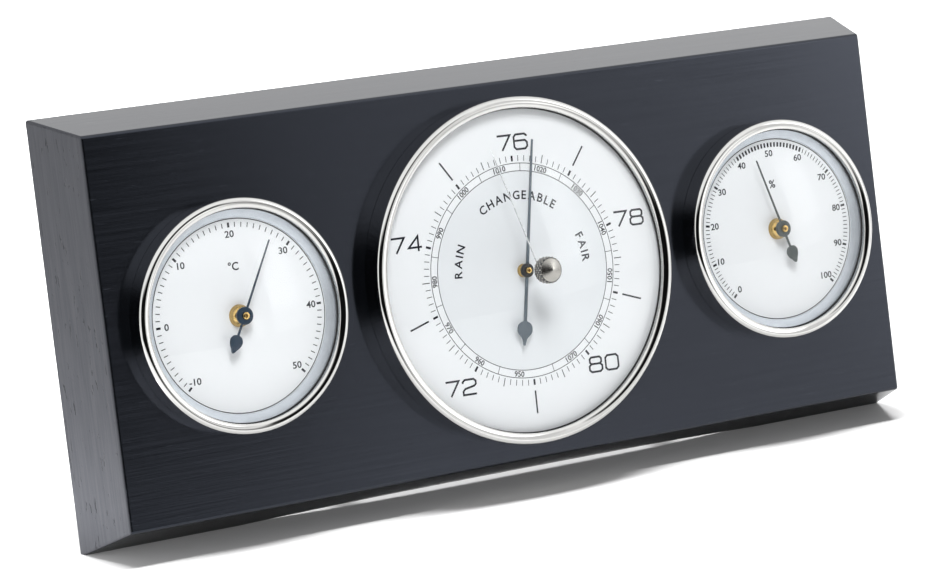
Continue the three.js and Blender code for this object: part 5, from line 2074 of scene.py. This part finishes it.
    def _floor(self) -> bpy.types.Object:
        """White table top that keeps the station's shadow."""
        half = self.floor_size / 2.0
        mesh = bpy.data.meshes.new("floor")
        corners = [(*corner, 0.0) for corner in rect(-half, -half, half, half)]
        mesh.from_pydata(corners, [], [(0, 1, 2, 3)])
        floor = put("floor", mesh)
        material, bench, shader = new_material("white_table")
        path = bench.add("ShaderNodeLightPath").outputs
        mirrored = bench.math("GREATER_THAN", path["Glossy Depth"], 0.5)
        seen = bench.math("MAXIMUM", path["Is Camera Ray"], path["Is Transmission Ray"])
        lift = bench.math("MULTIPLY", seen, self.floor_lift)
        clear = bench.math("MULTIPLY", self._clear_of_block(bench), self.mirror_lift)
        lift = bench.math("MULTIPLY_ADD", mirrored, clear, lift)
        bench.dress(
            shader, Base_Color=self.floor_colour, Roughness=self.floor_rough,
            Specular_IOR_Level=0.0, Emission_Color=self.white, Emission_Strength=lift,
        )
        mesh.materials.append(material)
        return floor

    def _clear_of_block(self, bench: NodeBench) -> Socket:
        """One on the floor away from the block, nothing under it."""
        parts = bench.parts(bench.add("ShaderNodeTexCoord").outputs["Object"])
        beyond = []
        for part, half in zip(parts, self.lift_clear):
            past = bench.math("SUBTRACT", bench.math("ABSOLUTE", part), half)
            beyond.append(bench.math("MAXIMUM", past, 0.0))
        return bench.fit(bench.distance(*beyond), 0.0, self.lift_soft)


# ---------------------------------------------------------------- assembly


GAUGE_PITCH = 95.0
SMALL_STACK = {
    "bezel_radius": 33.7, "proud": 7.1, "lip_radius": 30.7, "seat_radius": 32.4,
    "dome_radius": 30.4, "glass_under": 3.9, "rise": 5.379, "hole_radius": 0.0,
    "dial_top": 2.4, "dial_under": 1.9, "case_radius": 29.9, "bush_radius": 3.3, "bush_rise": 2.1,
    "cap_radius": 1.1, "pointer": SMALL_POINTER,
}
BARO_STACK = {
    "bezel_radius": 51.5, "proud": 8.0, "lip_radius": 48.2, "seat_radius": 50.2,
    "dome_radius": 47.9, "glass_under": 4.8, "rise": 9.887, "hole_radius": 2.3,
    "dial_top": 4.5, "dial_under": 4.0, "case_radius": 47.7, "bush_radius": 2.0, "bush_rise": 1.2,
    "cap_radius": 0.95, "pointer": BARO_POINTER,
}


def main() -> None:
    """Builds the station's looks."""
    logging.basicConfig(level=logging.INFO, format="%(message)s")
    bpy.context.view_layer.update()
    panel = Panel.from_frame()
    Studio().build()
    gauge_x = {"thermometer": -GAUGE_PITCH, "barometer": 0.0, "hygrometer": GAUGE_PITCH}
    finishes = Finishes(Effects(panel), gauge_x)
    shop = Workshop(panel, finishes, RepeatTrees())
    WoodBlock().build(shop)
    Stand().build(shop)
    for kind, name, rest_deg, hand, hub, stack in (
        (Thermometer, "thermometer", 28.0, "blued_steel", None, SMALL_STACK),
        (Hygrometer, "hygrometer", -18.0, "green_slate_steel", None, SMALL_STACK),
        (Barometer, "barometer", 10.5, "slate_steel", "hub_black", BARO_STACK),
    ):
        kind(
            shop, name, gauge_x[name], rest_deg=rest_deg, hand_finish=hand, hub_finish=hub, **stack
        ).build()
    Works().dress(finishes)
    LOG.info("%d pieces made", len(shop.made))


if __name__ == "__main__":
    main()
